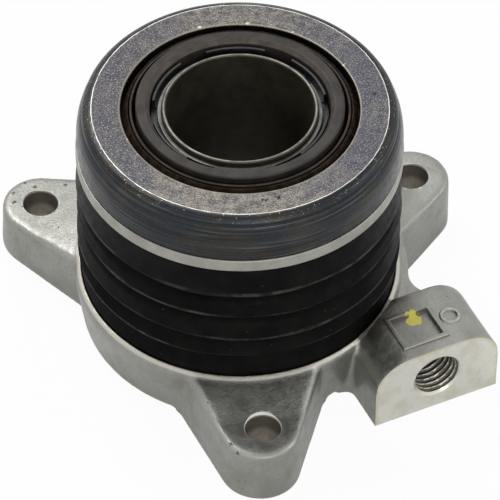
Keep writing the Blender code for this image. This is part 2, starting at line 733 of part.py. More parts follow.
def bearing_carrier(shop, material):
    """Pressed plate under the bearing; its turned rim is the bright band above the boot."""
    lip_outer = BOOT_TOP_R - BOOT_WALL - SEAT_GAP
    lip_inner = lip_outer - CARRIER_LIP_WIDTH
    rim_inner = CARRIER_R - CARRIER_RIM_WIDTH
    profile = [
        (rim_inner, CARRIER_RIM_TOP_Z),
        (CARRIER_R - EDGE_BREAK, CARRIER_RIM_TOP_Z),
        (CARRIER_R, CARRIER_RIM_TOP_Z - EDGE_BREAK),
        (CARRIER_R, CARRIER_BASE_Z + EDGE_BREAK),
        (CARRIER_R - EDGE_BREAK, CARRIER_BASE_Z),
        (lip_outer, CARRIER_BASE_Z),
        (lip_outer, CARRIER_BASE_Z - CARRIER_LIP_DROP),
        (lip_inner, CARRIER_BASE_Z - CARRIER_LIP_DROP),
        (lip_inner, CARRIER_BASE_Z),
        (CARRIER_BORE_R, CARRIER_BASE_Z),
        (CARRIER_BORE_R, CARRIER_TOP_Z),
        (rim_inner, CARRIER_TOP_Z),
    ]
    return shop.place(turned("bearing_carrier", profile, SHOWN_FACETS), material)


def bearing_inner_ring(shop, material):
    """Standing ring: inward foot flange, ball track below and inside, thin neck above."""
    ball = (BALL_PITCH_R, BALL_Z)
    track = arc(ball, RACE_R, 195, 275, 4)
    shoulder_r = INNER_NECK_BORE_R + INNER_SHOULDER_WALL
    profile = [
        (INNER_NECK_BORE_R, OUTER_FACE_Z),
        (INNER_NECK_R, OUTER_FACE_Z),
        (INNER_NECK_R, INNER_SHOULDER_Z + EDGE_BREAK),
        (shoulder_r, INNER_SHOULDER_Z),
        (shoulder_r, BALL_Z),
        *track,
        (INNER_BASE_R, track[-1][1] + EDGE_BREAK),
        (INNER_BASE_R, INNER_BASE_Z),
        (CARRIER_BORE_R, INNER_BASE_Z),
        (CARRIER_BORE_R, INNER_FLANGE_TOP_Z),
        (INNER_NECK_BORE_R, INNER_FLANGE_TOP_Z),
    ]
    return shop.place(turned("bearing_inner_ring", profile, SHOWN_FACETS), material)


def bearing_outer_ring(shop, material):
    """Turning ring: flat contact face, rounded shoulder, ball track above and outside."""
    ball = (BALL_PITCH_R, BALL_Z)
    track = arc(ball, RACE_R, 0, 110, 5)
    centre = (OUTER_FACE_OUTER_R, OUTER_FACE_Z - OUTER_SHOULDER_ROUND)
    shoulder = arc(centre, OUTER_SHOULDER_ROUND, 90, 10, 3)
    groove_r = shoulder[-1][0] - OUTER_GROOVE_DEPTH
    groove_z = shoulder[-1][1] - OUTER_GROOVE_DEPTH
    profile = [
        (OUTER_FACE_INNER_R + EDGE_BREAK, OUTER_FACE_Z),
        *shoulder,
        (groove_r, groove_z),
        (groove_r + 2 * OUTER_GROOVE_DEPTH, groove_z - 2 * OUTER_GROOVE_DEPTH),
        (OUTER_RING_R - EDGE_BREAK, (groove_z + BALL_Z) / 2),
        (OUTER_RING_R, BALL_Z),
        (OUTER_RING_R, OUTER_BASE_Z + EDGE_BREAK),
        (OUTER_RING_R - EDGE_BREAK, OUTER_BASE_Z),
        (OUTER_SKIRT_R, OUTER_BASE_Z),
        *track,
        (OUTER_FACE_INNER_R, track[-1][1] + OUTER_BORE_RISE),
        (OUTER_FACE_INNER_R, OUTER_FACE_Z - EDGE_BREAK),
    ]
    return shop.place(turned("bearing_outer_ring", profile, SHOWN_FACETS), material)


def bearing_cage(shop, material):
    """Cone-shaped plastic ring whose open pockets clip round the balls."""
    half = CAGE_THICK / 2
    slant = math.sqrt(0.5)
    corners = []
    for reach, offset in ((CAGE_REACH_UP, half), (-CAGE_REACH_DOWN, half),
                          (-CAGE_REACH_DOWN, -half), (CAGE_REACH_UP, -half)):
        radius = BALL_PITCH_R - reach * slant + offset * slant
        height = BALL_Z + reach * slant + offset * slant
        corners.append((radius, height))
    obj = turned("bearing_cage", corners, 2 * BALL_COUNT)
    pocket_r = BALL_R + POCKET_GAP
    for index in range(BALL_COUNT):
        angle = math.radians(ball_angle(index))
        profile = [
            (0.0, pocket_r), (pocket_r, pocket_r), (pocket_r, -pocket_r), (0.0, -pocket_r),
        ]
        pocket = turned(f"pocket_{index + 1:02d}", profile, SMALL_FACETS // 2)
        pocket.location = (
            BALL_PITCH_R * MM * math.cos(angle),
            BALL_PITCH_R * MM * math.sin(angle),
            BALL_Z * MM,
        )
        pocket.rotation_euler = (0.0, math.radians(45.0), angle)
        boolean(obj, shop.place_cutter(pocket), "DIFFERENCE")
    return shop.place(obj, material)


def ball_angle(index):
    """Turn of one ball about the bearing axis, half a cage facet off the first facet edge."""
    return (index + 0.25) * 360.0 / BALL_COUNT


def bearing_balls(shop, material):
    """The steel balls, one object each, evenly spaced on the pitch circle."""
    shape = bmesh.new()
    bmesh.ops.create_icosphere(shape, subdivisions=2, radius=BALL_R * MM)
    mesh = bpy.data.meshes.new("bearing_ball")
    shape.to_mesh(mesh)
    shape.free()
    mesh.shade_smooth()
    mesh.materials.append(material)
    for index in range(BALL_COUNT):
        ball = bpy.data.objects.new(f"bearing_ball_{index + 1:02d}", mesh)
        x, y = polar(BALL_PITCH_R, ball_angle(index))
        ball.location = (x * MM, y * MM, BALL_Z * MM)
        ball.parent = shop.axis
        shop.parts.objects.link(ball)


def upper_seal(shop, material):
    """Dust lip on the neck that slopes down to the bore of the turning ring."""
    inner = INNER_NECK_R + SEAT_GAP
    tip = OUTER_FACE_INNER_R - UPPER_SEAL_TIP_GAP
    base = UPPER_SEAL_TIP_Z - UPPER_SEAL_THICK
    profile = [
        (inner, UPPER_SEAL_TOP_Z),
        (inner + EDGE_BREAK, UPPER_SEAL_TOP_Z),
        (tip, UPPER_SEAL_TIP_Z),
        (tip, base),
        (inner, base),
    ]
    return shop.place(turned("upper_seal", profile, SHOWN_FACETS), material)


def lower_seal(shop, material):
    """Flat lip seal between the foot of the standing ring and the turning skirt."""
    inner = INNER_BASE_R + SEAT_GAP
    outer = OUTER_SKIRT_R - SEAT_GAP
    base = INNER_BASE_Z + SEAT_GAP
    top = base + LOWER_SEAL_LEG + LOWER_SEAL_THICK
    profile = [
        (inner, top),
        (outer, top),
        (outer, top - LOWER_SEAL_THICK),
        (inner + LOWER_SEAL_LEG, top - LOWER_SEAL_THICK),
        (inner + LOWER_SEAL_LEG, base),
        (inner, base),
    ]
    return shop.place(turned("lower_seal", profile, SHOWN_FACETS), material)


def preload_spring(shop, material):
    """Coil spring round the cylinder tube with a closed turn at each end."""
    base = RECESS_FLOOR_Z + SEAT_GAP + SPRING_WIRE_R
    top = CARRIER_BASE_Z - SEAT_GAP - SPRING_WIRE_R
    turns = SPRING_TURNS + 2.0
    count = int(round(turns * SPRING_POINTS_PER_TURN))
    coiled = top - base - 2 * SPRING_END_RISE
    curve = bpy.data.curves.new("preload_spring", "CURVE")
    curve.dimensions = "3D"
    curve.bevel_depth = SPRING_WIRE_R * MM
    curve.bevel_resolution = 2
    curve.use_fill_caps = True
    wire = curve.splines.new("POLY")
    wire.points.add(count)
    for index in range(count + 1):
        turn = turns * index / count
        x, y = polar(SPRING_MEAN_R, 360.0 * turn)
        if turn < 1.0:
            height = base + SPRING_END_RISE * turn
        elif turn > turns - 1.0:
            height = top - SPRING_END_RISE * (turns - turn)
        else:
            height = base + SPRING_END_RISE + coiled * (turn - 1.0) / SPRING_TURNS
        wire.points[index].co = (x * MM, y * MM, height * MM, 1.0)
    return shop.place(bpy.data.objects.new("preload_spring", curve), material)


def boot_profile():
    """Outer line of the boot from its top cuff down to its foot, one sagging fold after another."""
    points = [(BOOT_TOP_R, BOOT_TOP_Z)]
    for share in BOOT_CREST_SHARES:
        crest = BOOT_FOOT_Z + share * (BOOT_TOP_Z - BOOT_FOOT_Z)
        points.append((BOOT_R, crest + BOOT_LIP_RISE))
        points.append((BOOT_R - BOOT_LIP_ROUND, crest))
        points.append((BOOT_VALLEY_R, crest - BOOT_UNDERCUT))
        if share > BOOT_CREST_SHARES[-1]:
            points.append((BOOT_R - BOOT_SAG_IN, crest - BOOT_UNDERCUT - BOOT_SAG_DROP))
    points.append((BOOT_FOOT_R, BOOT_FOOT_Z + BOOT_FOOT_HEIGHT))
    points.append((BOOT_FOOT_R, BOOT_FOOT_Z))
    return points


def dust_boot(shop, material):
    """Rubber bellows: an open turned line given its wall."""
    points = boot_profile()
    mesh = bpy.data.meshes.new("dust_boot")
    corners = [(radius * MM, 0.0, height * MM) for radius, height in points]
    mesh.from_pydata(corners, [(index, index + 1) for index in range(len(points) - 1)], [])
    obj = bpy.data.objects.new("dust_boot", mesh)
    screw = obj.modifiers.new("Turn", "SCREW")
    screw.axis = "Z"
    screw.angle = 2 * math.pi
    screw.steps = SHOWN_FACETS
    screw.render_steps = SHOWN_FACETS
    screw.use_merge_vertices = True
    screw.merge_threshold = 0.00001
    screw.use_smooth_shade = True
    wall = obj.modifiers.new("Wall", "SOLIDIFY")
    wall.thickness = BOOT_WALL * MM
    wall.offset = -1.0
    wall.use_even_offset = True
    return shop.place(obj, material)


def build():
    clear_scene()
    shop = Workshop()
    cast = new_material("cast_aluminium", (0.40, 0.39, 0.37), 0.55, 0.6)
    sleeve_steel = new_material("sleeve_steel", (0.12, 0.115, 0.10), 0.40, 0.8)
    ring_steel = new_material("stop_ring_steel", (0.25, 0.25, 0.26), 0.35, 0.9)
    dark_plastic = new_material("piston_plastic", (0.03, 0.03, 0.03), 0.45, 0.0)
    collar_steel = new_material("collar_steel", (0.10, 0.11, 0.13), 0.40, 0.6)
    face_steel = new_material("bearing_steel", (0.20, 0.20, 0.23), 0.35, 0.8)
    neck_steel = new_material("neck_steel", (0.22, 0.16, 0.10), 0.45, 0.7)
    ball_steel = new_material("ball_steel", (0.60, 0.60, 0.62), 0.12, 1.0)
    band_steel = new_material("carrier_steel", (0.55, 0.54, 0.52), 0.40, 0.7)
    cage_plastic = new_material("cage_plastic", (0.35, 0.30, 0.20), 0.50, 0.0)
    seal_rubber = new_material("seal_rubber", (0.08, 0.055, 0.04), 0.70, 0.0)
    boot_rubber = new_material("boot_rubber", (0.012, 0.012, 0.013), 0.45, 0.0)
    spring_steel = new_material("spring_steel", (0.18, 0.18, 0.19), 0.40, 0.9)

    housing(shop, cast)
    guide_sleeve(shop, sleeve_steel)
    sleeve_o_ring(shop, seal_rubber)
    sleeve_stop_ring(shop, ring_steel)
    piston(shop, dark_plastic)
    piston_seal(shop, seal_rubber)
    retaining_collar(shop, collar_steel)
    wave_spring(shop, spring_steel)
    bearing_carrier(shop, band_steel)
    bearing_inner_ring(shop, neck_steel)
    bearing_outer_ring(shop, face_steel)
    bearing_cage(shop, cage_plastic)
    bearing_balls(shop, ball_steel)
    upper_seal(shop, seal_rubber)
    lower_seal(shop, seal_rubber)
    preload_spring(shop, spring_steel)
    dust_boot(shop, boot_rubber)


build()
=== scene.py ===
"""Looks of a hydraulic clutch release bearing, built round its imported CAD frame.

Sizes are in millimetres and counted from the bearing axis and the mounting face, as in the
part's source. Meshes are turned into metres and shifted to the frame's origin as they are made.
"""

import logging
import math
from collections.abc import Callable, Sequence
from dataclasses import dataclass
from enum import Enum

import bmesh
import bpy
import numpy as np
from mathutils import Matrix, Vector, noise


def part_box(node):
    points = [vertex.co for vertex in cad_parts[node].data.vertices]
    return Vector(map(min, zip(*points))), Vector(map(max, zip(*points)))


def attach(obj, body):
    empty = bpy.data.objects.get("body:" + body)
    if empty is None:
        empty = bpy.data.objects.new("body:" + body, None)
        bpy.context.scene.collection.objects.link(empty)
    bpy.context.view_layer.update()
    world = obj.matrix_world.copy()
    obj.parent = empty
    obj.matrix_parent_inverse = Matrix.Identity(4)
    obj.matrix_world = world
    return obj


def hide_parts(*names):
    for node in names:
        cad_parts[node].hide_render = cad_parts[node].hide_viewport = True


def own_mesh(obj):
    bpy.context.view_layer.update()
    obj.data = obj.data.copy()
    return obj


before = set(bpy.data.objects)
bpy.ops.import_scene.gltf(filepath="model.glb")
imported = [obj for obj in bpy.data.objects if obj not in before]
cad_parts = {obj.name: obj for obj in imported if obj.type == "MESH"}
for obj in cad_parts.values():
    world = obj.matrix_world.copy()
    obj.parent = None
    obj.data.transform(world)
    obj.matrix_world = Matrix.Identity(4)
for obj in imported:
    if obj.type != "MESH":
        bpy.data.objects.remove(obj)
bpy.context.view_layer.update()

MM = 0.001
AXIS_X = -8.63275
AXIS_Y = 4.91876
RING_STEPS = 192
ARC_STEPS = 5
HOLD = 0.06
HOLD_SHARE = 0.48
REACH_SHARE = 0.45
FLAT_DEG = 172.0
FOOT_INSET = 0.6
FOOT_BREAK = 0.1
SHARP_DEG = 38.0

Colour = tuple[int, int, int]
Corner = tuple[float, float, float]
Spot = tuple[float, float, float, float]
Grid = np.ndarray
Warp = Callable[[Grid, Grid, Grid], tuple[Grid, Grid]]
Socket = bpy.types.NodeSocket
Material = bpy.types.Material
Piece = bpy.types.Object

log = logging.getLogger("release_bearing")


class Body(Enum):
    """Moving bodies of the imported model."""

    HOUSING = "housing"
    PISTON = "piston"
    BEARING = "bearing"
    OUTER_RING = "outer_ring"
    CAGE = "cage"


class Slot(Enum):
    """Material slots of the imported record."""

    CASTING = "cast_housing"
    SLEEVE = "sleeve"
    SEAL = "seal_rubber"
    DUST_SEAL = "dust_seal"
    STOP_RING = "stop_ring"
    SPRING = "spring"
    BOOT = "boot"
    PISTON = "piston"
    COLLAR = "collar"
    BAND = "carrier_band"
    INNER_RING = "inner_ring"
    FACE = "bearing_face"
    BALL = "ball"


class Cut(Enum):
    """What one solid does to another."""

    TAKE = "DIFFERENCE"
    ADD = "UNION"


# Colours and node trees


def linear(colour: Colour) -> tuple[float, float, float, float]:
    """Turn a colour as seen on a screen into the renderer's own values.

    Args:
        colour: Red, green and blue from 0 to 255.

    Returns:
        Linear red, green, blue and an alpha of 1.
    """
    shares = [level / 255 for level in colour]
    values = [s / 12.92 if s <= 0.04045 else ((s + 0.055) / 1.055) ** 2.4 for s in shares]
    return (values[0], values[1], values[2], 1.0)


class Tree:
    """One material's node tree, with short ways to add what the finishes use."""

    def __init__(self, name: str) -> None:
        """Start a material whose coordinates are millimetres from the bearing axis.

        Args:
            name: Name of the material.
        """
        self.material = bpy.data.materials.new(name)
        self.material.use_nodes = True
        self.nodes = self.material.node_tree.nodes
        self.links = self.material.node_tree.links
        self.shader = self.nodes["Principled BSDF"]
        raw = self.nodes.new("ShaderNodeTexCoord").outputs["Object"]
        scaled = self.vector("SCALE", raw, scale=1 / MM)
        self.place = self.vector("SUBTRACT", scaled, (AXIS_X, AXIS_Y, 0.0))
        split = self.nodes.new("ShaderNodeSeparateXYZ")
        self.links.new(self.place, split.inputs[0])
        self.x, self.y, self.height = split.outputs
        square = self.plus(self.times(self.x, self.x), self.times(self.y, self.y))
        self.radius = self.maths("SQRT", square)

    def feed(self, socket: Socket, value: object) -> None:
        """Link a socket, or set it where the value is a number, a vector or a colour.

        Args:
            socket: Socket to fill.
            value: Another socket, or a plain value.
        """
        if isinstance(value, bpy.types.NodeSocket):
            self.links.new(value, socket)
        else:
            socket.default_value = value

    def vector(self, operation: str, first: object, second: object = None,
               scale: float = 1.0) -> Socket:
        """Add one vector sum and return its result.

        Args:
            operation: Name of the vector sum.
            first: First vector.
            second: Second vector, if the sum has one.
            scale: Factor, for SCALE alone.

        Returns:
            The result.
        """
        node = self.nodes.new("ShaderNodeVectorMath")
        node.operation = operation
        self.feed(node.inputs[0], first)
        if second is not None:
            self.feed(node.inputs[1], second)
        if operation == "SCALE":
            node.inputs["Scale"].default_value = scale
        return node.outputs[0]

    def maths(self, operation: str, first: object, second: object = 0.0) -> Socket:
        """Add one sum and return its result.

        Args:
            operation: Name of the sum.
            first: First number.
            second: Second number.

        Returns:
            The result.
        """
        node = self.nodes.new("ShaderNodeMath")
        node.operation = operation
        self.feed(node.inputs[0], first)
        self.feed(node.inputs[1], second)
        return node.outputs[0]

    def times(self, first: object, second: object) -> Socket:
        """Product of two numbers."""
        return self.maths("MULTIPLY", first, second)

    def plus(self, first: object, second: object) -> Socket:
        """Sum of two numbers."""
        return self.maths("ADD", first, second)

    def along(self, direction: tuple[float, float]) -> Socket:
        """How far the surface lies from the axis in a direction in plan."""
        return self.plus(self.times(self.x, direction[0]), self.times(self.y, direction[1]))

    def point(self, x: object, y: object, z: object) -> Socket:
        """Join three values into one vector.

        Args:
            x: First value.
            y: Second value.
            z: Third value.

        Returns:
            The vector.
        """
        node = self.nodes.new("ShaderNodeCombineXYZ")
        for socket, value in zip(node.inputs, (x, y, z)):
            self.feed(socket, value)
        return node.outputs[0]

    def grain(self, size: float, detail: float = 3.0, rough: float = 0.55,
              place: Socket | None = None, seed: float = 0.0) -> Socket:
        """Add soft noise.

        Args:
            size: Width of one blotch in millimetres.
            detail: How many finer layers lie on top.
            rough: How strong the finer layers are.
            place: Coordinates in millimetres, or None for the surface's own.
            seed: Shift that makes two noises of one size differ.

        Returns:
            The noise's level, around 0.5.
        """
        node = self.nodes.new("ShaderNodeTexNoise")
        where = place or self.place
        if seed:
            where = self.vector("ADD", where, (seed, -seed, 2 * seed))
        self.feed(node.inputs["Vector"], where)
        node.inputs["Scale"].default_value = 1 / size
        node.inputs["Detail"].default_value = detail
        node.inputs["Roughness"].default_value = rough
        return node.outputs["Fac"]

    def cells(self, size: float) -> Socket:
        """Distance from the middle of scattered cells.

        Args:
            size: Width of one cell in millimetres.

        Returns:
            The distance, 0 in the middle of a cell.
        """
        node = self.nodes.new("ShaderNodeTexVoronoi")
        self.feed(node.inputs["Vector"], self.place)
        node.inputs["Scale"].default_value = 1 / size
        return node.outputs["Distance"]

    def rise(self, value: object, low: float, high: float, start: float = 0.0,
             end: float = 1.0) -> Socket:
        """Step softly from start to end as the value goes from low to high.

        Args:
            value: Value that is looked at.
            low: Where the step starts.
            high: Where the step ends, which may lie under low.
            start: Result at low.
            end: Result at high.

        Returns:
            The stepped value.
        """
        node = self.nodes.new("ShaderNodeMapRange")
        node.interpolation_type = "SMOOTHSTEP"
        self.feed(node.inputs["Value"], value)
        ends = (("From Min", low), ("From Max", high), ("To Min", start), ("To Max", end))
        for name, number in ends:
            node.inputs[name].default_value = number
        return node.outputs["Result"]

    def belt(self, value: Socket, low: float, high: float, soft: float) -> Socket:
        """Mask that is 1 between low and high, with soft ends."""
        up = self.rise(value, low - soft, low + soft)
        return self.times(up, self.rise(value, high - soft, high + soft, 1.0, 0.0))

    def rings(self, size: float, seed: float = 0.0, drift: float = 0.02) -> Socket:
        """Noise that runs round the axis as a turning tool's lines do.

        Args:
            size: Width of one line in millimetres.
            seed: Shift that makes two sets of lines differ.
            drift: How fast a line changes along its way round.

        Returns:
            The lines' level, around 0.5.
        """
        along = self.vector("SCALE", self.place, scale=drift)
        across = self.point(self.radius, 0.0, self.height)
        return self.grain(size, 2.0, 0.6, self.vector("ADD", along, across), seed)

    def blend(self, share: object, first: object, second: object) -> Socket:
        """Mix two colours, each a screen colour or a socket.

        Args:
            share: Share of the second colour.
            first: First colour.
            second: Second colour.

        Returns:
            The mixed colour.
        """
        node = self.nodes.new("ShaderNodeMix")
        node.data_type = "RGBA"
        self.feed(node.inputs["Factor"], share)
        for socket, value in ((node.inputs["A"], first), (node.inputs["B"], second)):
            self.feed(self.colour_input(node, socket.name), self.as_colour(value))
        return [out for out in node.outputs if out.type == "RGBA"][0]

    @staticmethod
    def colour_input(node: bpy.types.Node, name: str) -> Socket:
        """The colour socket of a mix node with that name."""
        return [item for item in node.inputs if item.name == name and item.type == "RGBA"][0]

    @staticmethod
    def as_colour(value: object) -> object:
        """A socket as it is, or a screen colour as linear values."""
        return value if isinstance(value, bpy.types.NodeSocket) else linear(value)

    def worn_edge(self, low: float, high: float) -> Socket:
        """Mask of outward edges, from how pointed the mesh is there."""
        node = self.nodes.new("ShaderNodeNewGeometry")
        return self.rise(node.outputs["Pointiness"], low, high)

    def far_from(self, spot: tuple[float, float, float],
                 along: tuple[float, float, float] = (1.0, 1.0, 1.0)) -> Socket:
        """Distance from a spot in millimetres, counted along the axes that are not 0.

        Args:
            spot: Place in millimetres.
            along: Factor of each axis.

        Returns:
            The distance.
        """
        away = self.vector("MULTIPLY", self.vector("SUBTRACT", self.place, spot), along)
        node = self.nodes.new("ShaderNodeVectorMath")
        node.operation = "LENGTH"
        self.links.new(away, node.inputs[0])
        return node.outputs["Value"]

    def spots(self, places: Sequence[Spot]) -> Socket:
        """Nicks and crumbs with ragged edges, each given by its place and its reach.

        Args:
            places: Place and reach of each spot.

        Returns:
            Mask that is 0 away from the spots.
        """
        ragged = self.rise(self.grain(0.7, 3.0, 0.6, seed=15.0), 0.25, 0.75, -0.35, 0.35)
        total = None
        for x, y, z, reach in places:
            away = self.far_from((x, y, z))
            spot = self.rise(self.plus(away, ragged), reach * 0.6, reach, 0.85, 0.0)
            total = spot if total is None else self.maths("MAXIMUM", total, spot)
        return total

    def bump(self, level: Socket, depth: float, under: Socket | None = None) -> Socket:
        """Raise the surface by up to depth millimetres, on top of another bump.

        Args:
            level: Height from 0 to 1.
            depth: Millimetres that a level of 1 stands for.
            under: Bump that lies below, if any.

        Returns:
            The bent normal.
        """
        node = self.nodes.new("ShaderNodeBump")
        node.inputs["Distance"].default_value = depth * MM
        self.links.new(level, node.inputs["Height"])
        if under is not None:
            self.links.new(under, node.inputs["Normal"])
        return node.outputs["Normal"]

    def wear(self, colour: object, roughness: object, metallic: object,
             normal: Socket | None = None, **plain: float) -> Material:
        """Link the finished layers to the shader.

        Args:
            colour: Base colour.
            roughness: Roughness.
            metallic: Metallic share.
            normal: Last bump, if any.
            **plain: Values that are the same all over, by socket name with _ for spaces.

        Returns:
            The finished material.
        """
        self.feed(self.shader.inputs["Base Color"], self.as_colour(colour))
        self.feed(self.shader.inputs["Roughness"], roughness)
        self.feed(self.shader.inputs["Metallic"], metallic)
        if normal is not None:
            self.links.new(normal, self.shader.inputs["Normal"])
        for name, value in plain.items():
            self.shader.inputs[name.replace("_", " ")].default_value = value
        return self.material


# Finishes


@dataclass(frozen=True)
class CastFinish:
    """Die-cast aluminium skin with fine grain, pits, stains, rubbed edges and painted shade at the
    boot.
    """

    base: Colour = (157, 157, 152)
    dull: Colour = (144, 144, 138)
    stain: Colour = (120, 115, 103)
    pit: Colour = (62, 55, 46)
    rubbed: Colour = (214, 210, 198)
    # Colour of the painted shade at the boot line and beside the boot, partly oil.
    grime_and_shade: Colour = (62, 50, 34)
    paint: Colour = (244, 236, 112)
    paint_middle: tuple[float, float] = (28.4, -36.9)
    paint_reach: float = 2.15
    paint_low: float = 18.0
    rim_z: float = 16.6
    brim: tuple[float, float] = (38.0, 39.1)
    corner: tuple[float, float] = (37.3, 38.05)
    boot_shadow_reach: tuple[float, float] = (39.0, 47.0)
    nicks: tuple[Spot, ...] = (
        (-39.0, 45.7, 14.2, 0.5), (-40.0, 42.6, 14.2, 0.6), (-34.9, 47.7, 14.2, 0.4),
        (-33.4, 45.4, 14.2, 0.7), (-26.4, 42.8, 14.2, 0.6), (-35.6, 29.3, 14.2, 0.4),
        (-40.0, 26.7, 14.0, 0.4), (-38.4, 40.4, 14.2, 0.5), (-26.0, -53.7, 13.6, 0.6),
        (-26.1, -50.9, 13.9, 0.6), (-20.7, -58.9, 12.9, 0.5), (-13.6, -58.0, 13.2, 0.4))

    def make(self) -> Material:
        """Build the casting's material.

        Returns:
            The finished material.
        """
        tree = Tree("cast_aluminium_skin")
        blotch = tree.grain(9.0, 4.0, 0.6)
        fine = tree.grain(0.55, 3.0, 0.7)
        colour = tree.blend(tree.rise(blotch, 0.38, 0.66), self.base, self.dull)
        colour = tree.blend(tree.rise(fine, 0.45, 0.75, 0.0, 0.45), colour, self.stain)
        oil = tree.grain(14.0, 5.0, 0.65, seed=31.0)
        colour = tree.blend(tree.rise(oil, 0.56, 0.74, 0.0, 0.55), colour, self.stain)
        dots = tree.rise(tree.cells(1.7), 0.05, 0.13, 1.0, 0.0)
        some = tree.rise(tree.grain(5.0, 2.0, 0.5, seed=7.0), 0.52, 0.64)
        pits = tree.times(dots, some)
        colour = tree.blend(pits, colour, self.pit)
        edge = tree.times(tree.worn_edge(0.515, 0.57), tree.rise(fine, 0.3, 0.7, 0.1, 0.6))
        brim = tree.times(tree.belt(tree.radius, *self.brim, 0.15),
                          tree.rise(tree.height, self.rim_z - 1.0, self.rim_z - 0.5))
        brim = tree.times(brim, tree.rise(tree.height, self.rim_z + 0.3, self.rim_z + 0.5,
                                          0.65, 0.0))
        colour = tree.blend(tree.maths("MAXIMUM", edge, brim), colour, self.rubbed)
        # Painted shade in the gap between the boot and the recess wall under the rim, partly oil.
        corner = tree.times(tree.belt(tree.radius, *self.corner, 0.1),
                            tree.rise(tree.height, self.rim_z - 0.8, self.rim_z - 0.3))
        colour = tree.blend(tree.times(corner, 0.8), colour, self.grime_and_shade)
        # Painted contact shadow of the boot on the boss top beside it, partly oil.
        boot_shadow = tree.times(tree.rise(tree.radius, *self.boot_shadow_reach, 0.7, 0.0),
                               tree.rise(tree.height, self.rim_z + 0.3, self.rim_z + 1.4))
        colour = tree.blend(boot_shadow, colour, self.grime_and_shade)
        colour = tree.blend(tree.spots(self.nicks), colour, self.pit)
        paint = self.paint_mask(tree)
        colour = tree.blend(tree.times(paint, 0.9), colour, self.paint)
        rough = tree.rise(tree.grain(2.2, 4.0, 0.6, seed=3.0), 0.3, 0.7, 0.31, 0.44)
        metal = tree.rise(paint, 0.0, 1.0, 0.78, 0.0)
        skin = tree.bump(tree.grain(0.8, 3.0, 0.6, seed=11.0), 0.07)
        skin = tree.bump(fine, 0.04, skin)
        skin = tree.bump(tree.maths("SUBTRACT", 1.0, pits), 0.08, skin)
        return tree.wear(colour, rough, metal, skin)

    def paint_mask(self, tree: Tree) -> Socket:
        """Dab of yellow marking paint on the boss top, with a ragged edge.

        Args:
            tree: The material's tree.

        Returns:
            The mask.
        """
        ragged = tree.rise(tree.grain(1.6, 3.0, 0.6, seed=5.0), 0.25, 0.75, -0.9, 0.9)
        away = tree.far_from((*self.paint_middle, 0.0), (1.0, 1.0, 0.0))
        reach = tree.plus(away, ragged)
        inside = tree.rise(reach, self.paint_reach - 0.35, self.paint_reach, 1.0, 0.0)
        return tree.times(inside, tree.rise(tree.height, self.paint_low, self.paint_low + 0.4))


@dataclass(frozen=True)
class CutFinish:
    """Milled port face with a worn arched edge, and the thread's bright crests and dark roots."""

    base: Colour = (224, 223, 214)
    dull: Colour = (209, 207, 194)
    speck: Colour = (104, 88, 66)
    worn: Colour = (214, 204, 176)
    root: Colour = (62, 54, 44)
    port_x: float = 29.0
    port_z: float = 10.1
    port_face: float = -48.9
    half_width: float = 7.7
    arch_foot: float = 10.7
    arch_round: float = 8.5

    def make(self) -> Material:
        """Build the machined surfaces' material.

        Returns:
            The finished material.
        """
        tree = Tree("machined_aluminium")
        colour = tree.blend(tree.rise(tree.grain(4.5, 4.0, 0.6), 0.4, 0.68), self.base, self.dull)
        specks = tree.rise(tree.cells(0.9), 0.07, 0.15, 0.85, 0.0)
        some = tree.rise(tree.grain(2.4, 2.0, 0.5, seed=9.0), 0.5, 0.62)
        colour = tree.blend(tree.times(specks, some), colour, self.speck)
        slant = tree.point(tree.plus(tree.x, tree.height), 0.0, tree.times(tree.x, 0.06))
        scratch = tree.rise(tree.grain(0.35, 1.0, 0.4, slant, seed=4.0), 0.66, 0.72, 0.0, 0.4)
        colour = tree.blend(scratch, colour, self.worn)
        colour = tree.blend(self.arch_mask(tree), colour, self.worn)
        colour = tree.blend(self.root_mask(tree), colour, self.root)
        squeezed = tree.vector("MULTIPLY", tree.place, (0.25, 1.0, 5.0))
        strokes = tree.grain(1.0, 2.0, 0.7, squeezed)
        rough = tree.rise(strokes, 0.3, 0.7, 0.28, 0.44)
        return tree.wear(colour, rough, 0.72, tree.bump(strokes, 0.012))

    def arch_mask(self, tree: Tree) -> Socket:
        """Worn band along the arched outline of the port face.

        Args:
            tree: The material's tree.

        Returns:
            The mask.
        """
        side = tree.maths("ABSOLUTE", tree.maths("SUBTRACT", tree.x, self.port_x))
        side = tree.maths("SUBTRACT", side, self.half_width)
        rise = tree.maths("SUBTRACT", tree.height, self.arch_foot)
        off_x, off_z = tree.maths("MAXIMUM", side, 0.0), tree.maths("MAXIMUM", rise, 0.0)
        square = tree.plus(tree.times(off_x, off_x), tree.times(off_z, off_z))
        wander = tree.rise(tree.grain(1.4, 4.0, 0.7, seed=21.0), 0.3, 0.7, -0.35, 0.3)
        edge = tree.plus(tree.maths("SQRT", square), wander)
        return tree.rise(edge, self.arch_round - 1.0, self.arch_round - 0.3, 0.0, 0.75)

    def root_mask(self, tree: Tree) -> Socket:
        """Darker colour in the thread's flanks and roots, and painted shade deeper in the hole.

        Args:
            tree: The material's tree.

        Returns:
            The mask.
        """
        spot = (self.port_x, 0.0, self.port_z)
        away = tree.far_from(spot, (1.0, 0.0, 1.0))
        depth = tree.maths("SUBTRACT", tree.y, self.port_face)
        wander = tree.rise(tree.grain(1.0, 3.0, 0.6, seed=27.0), 0.3, 0.7, -0.1, 0.1)
        flank = tree.rise(tree.plus(away, wander), 5.5, 5.72)
        flank = tree.times(flank, tree.rise(depth, 0.75, 1.0))
        near = tree.rise(away, 7.0, 7.6, 1.0, 0.0)
        # Painted shade: darker deeper in the hole.
        bottom = tree.times(tree.rise(depth, 3.0, 12.0, 0.0, 0.8), near)
        shade = tree.times(flank, near)
        return tree.times(tree.maths("MAXIMUM", shade, bottom), 0.92)


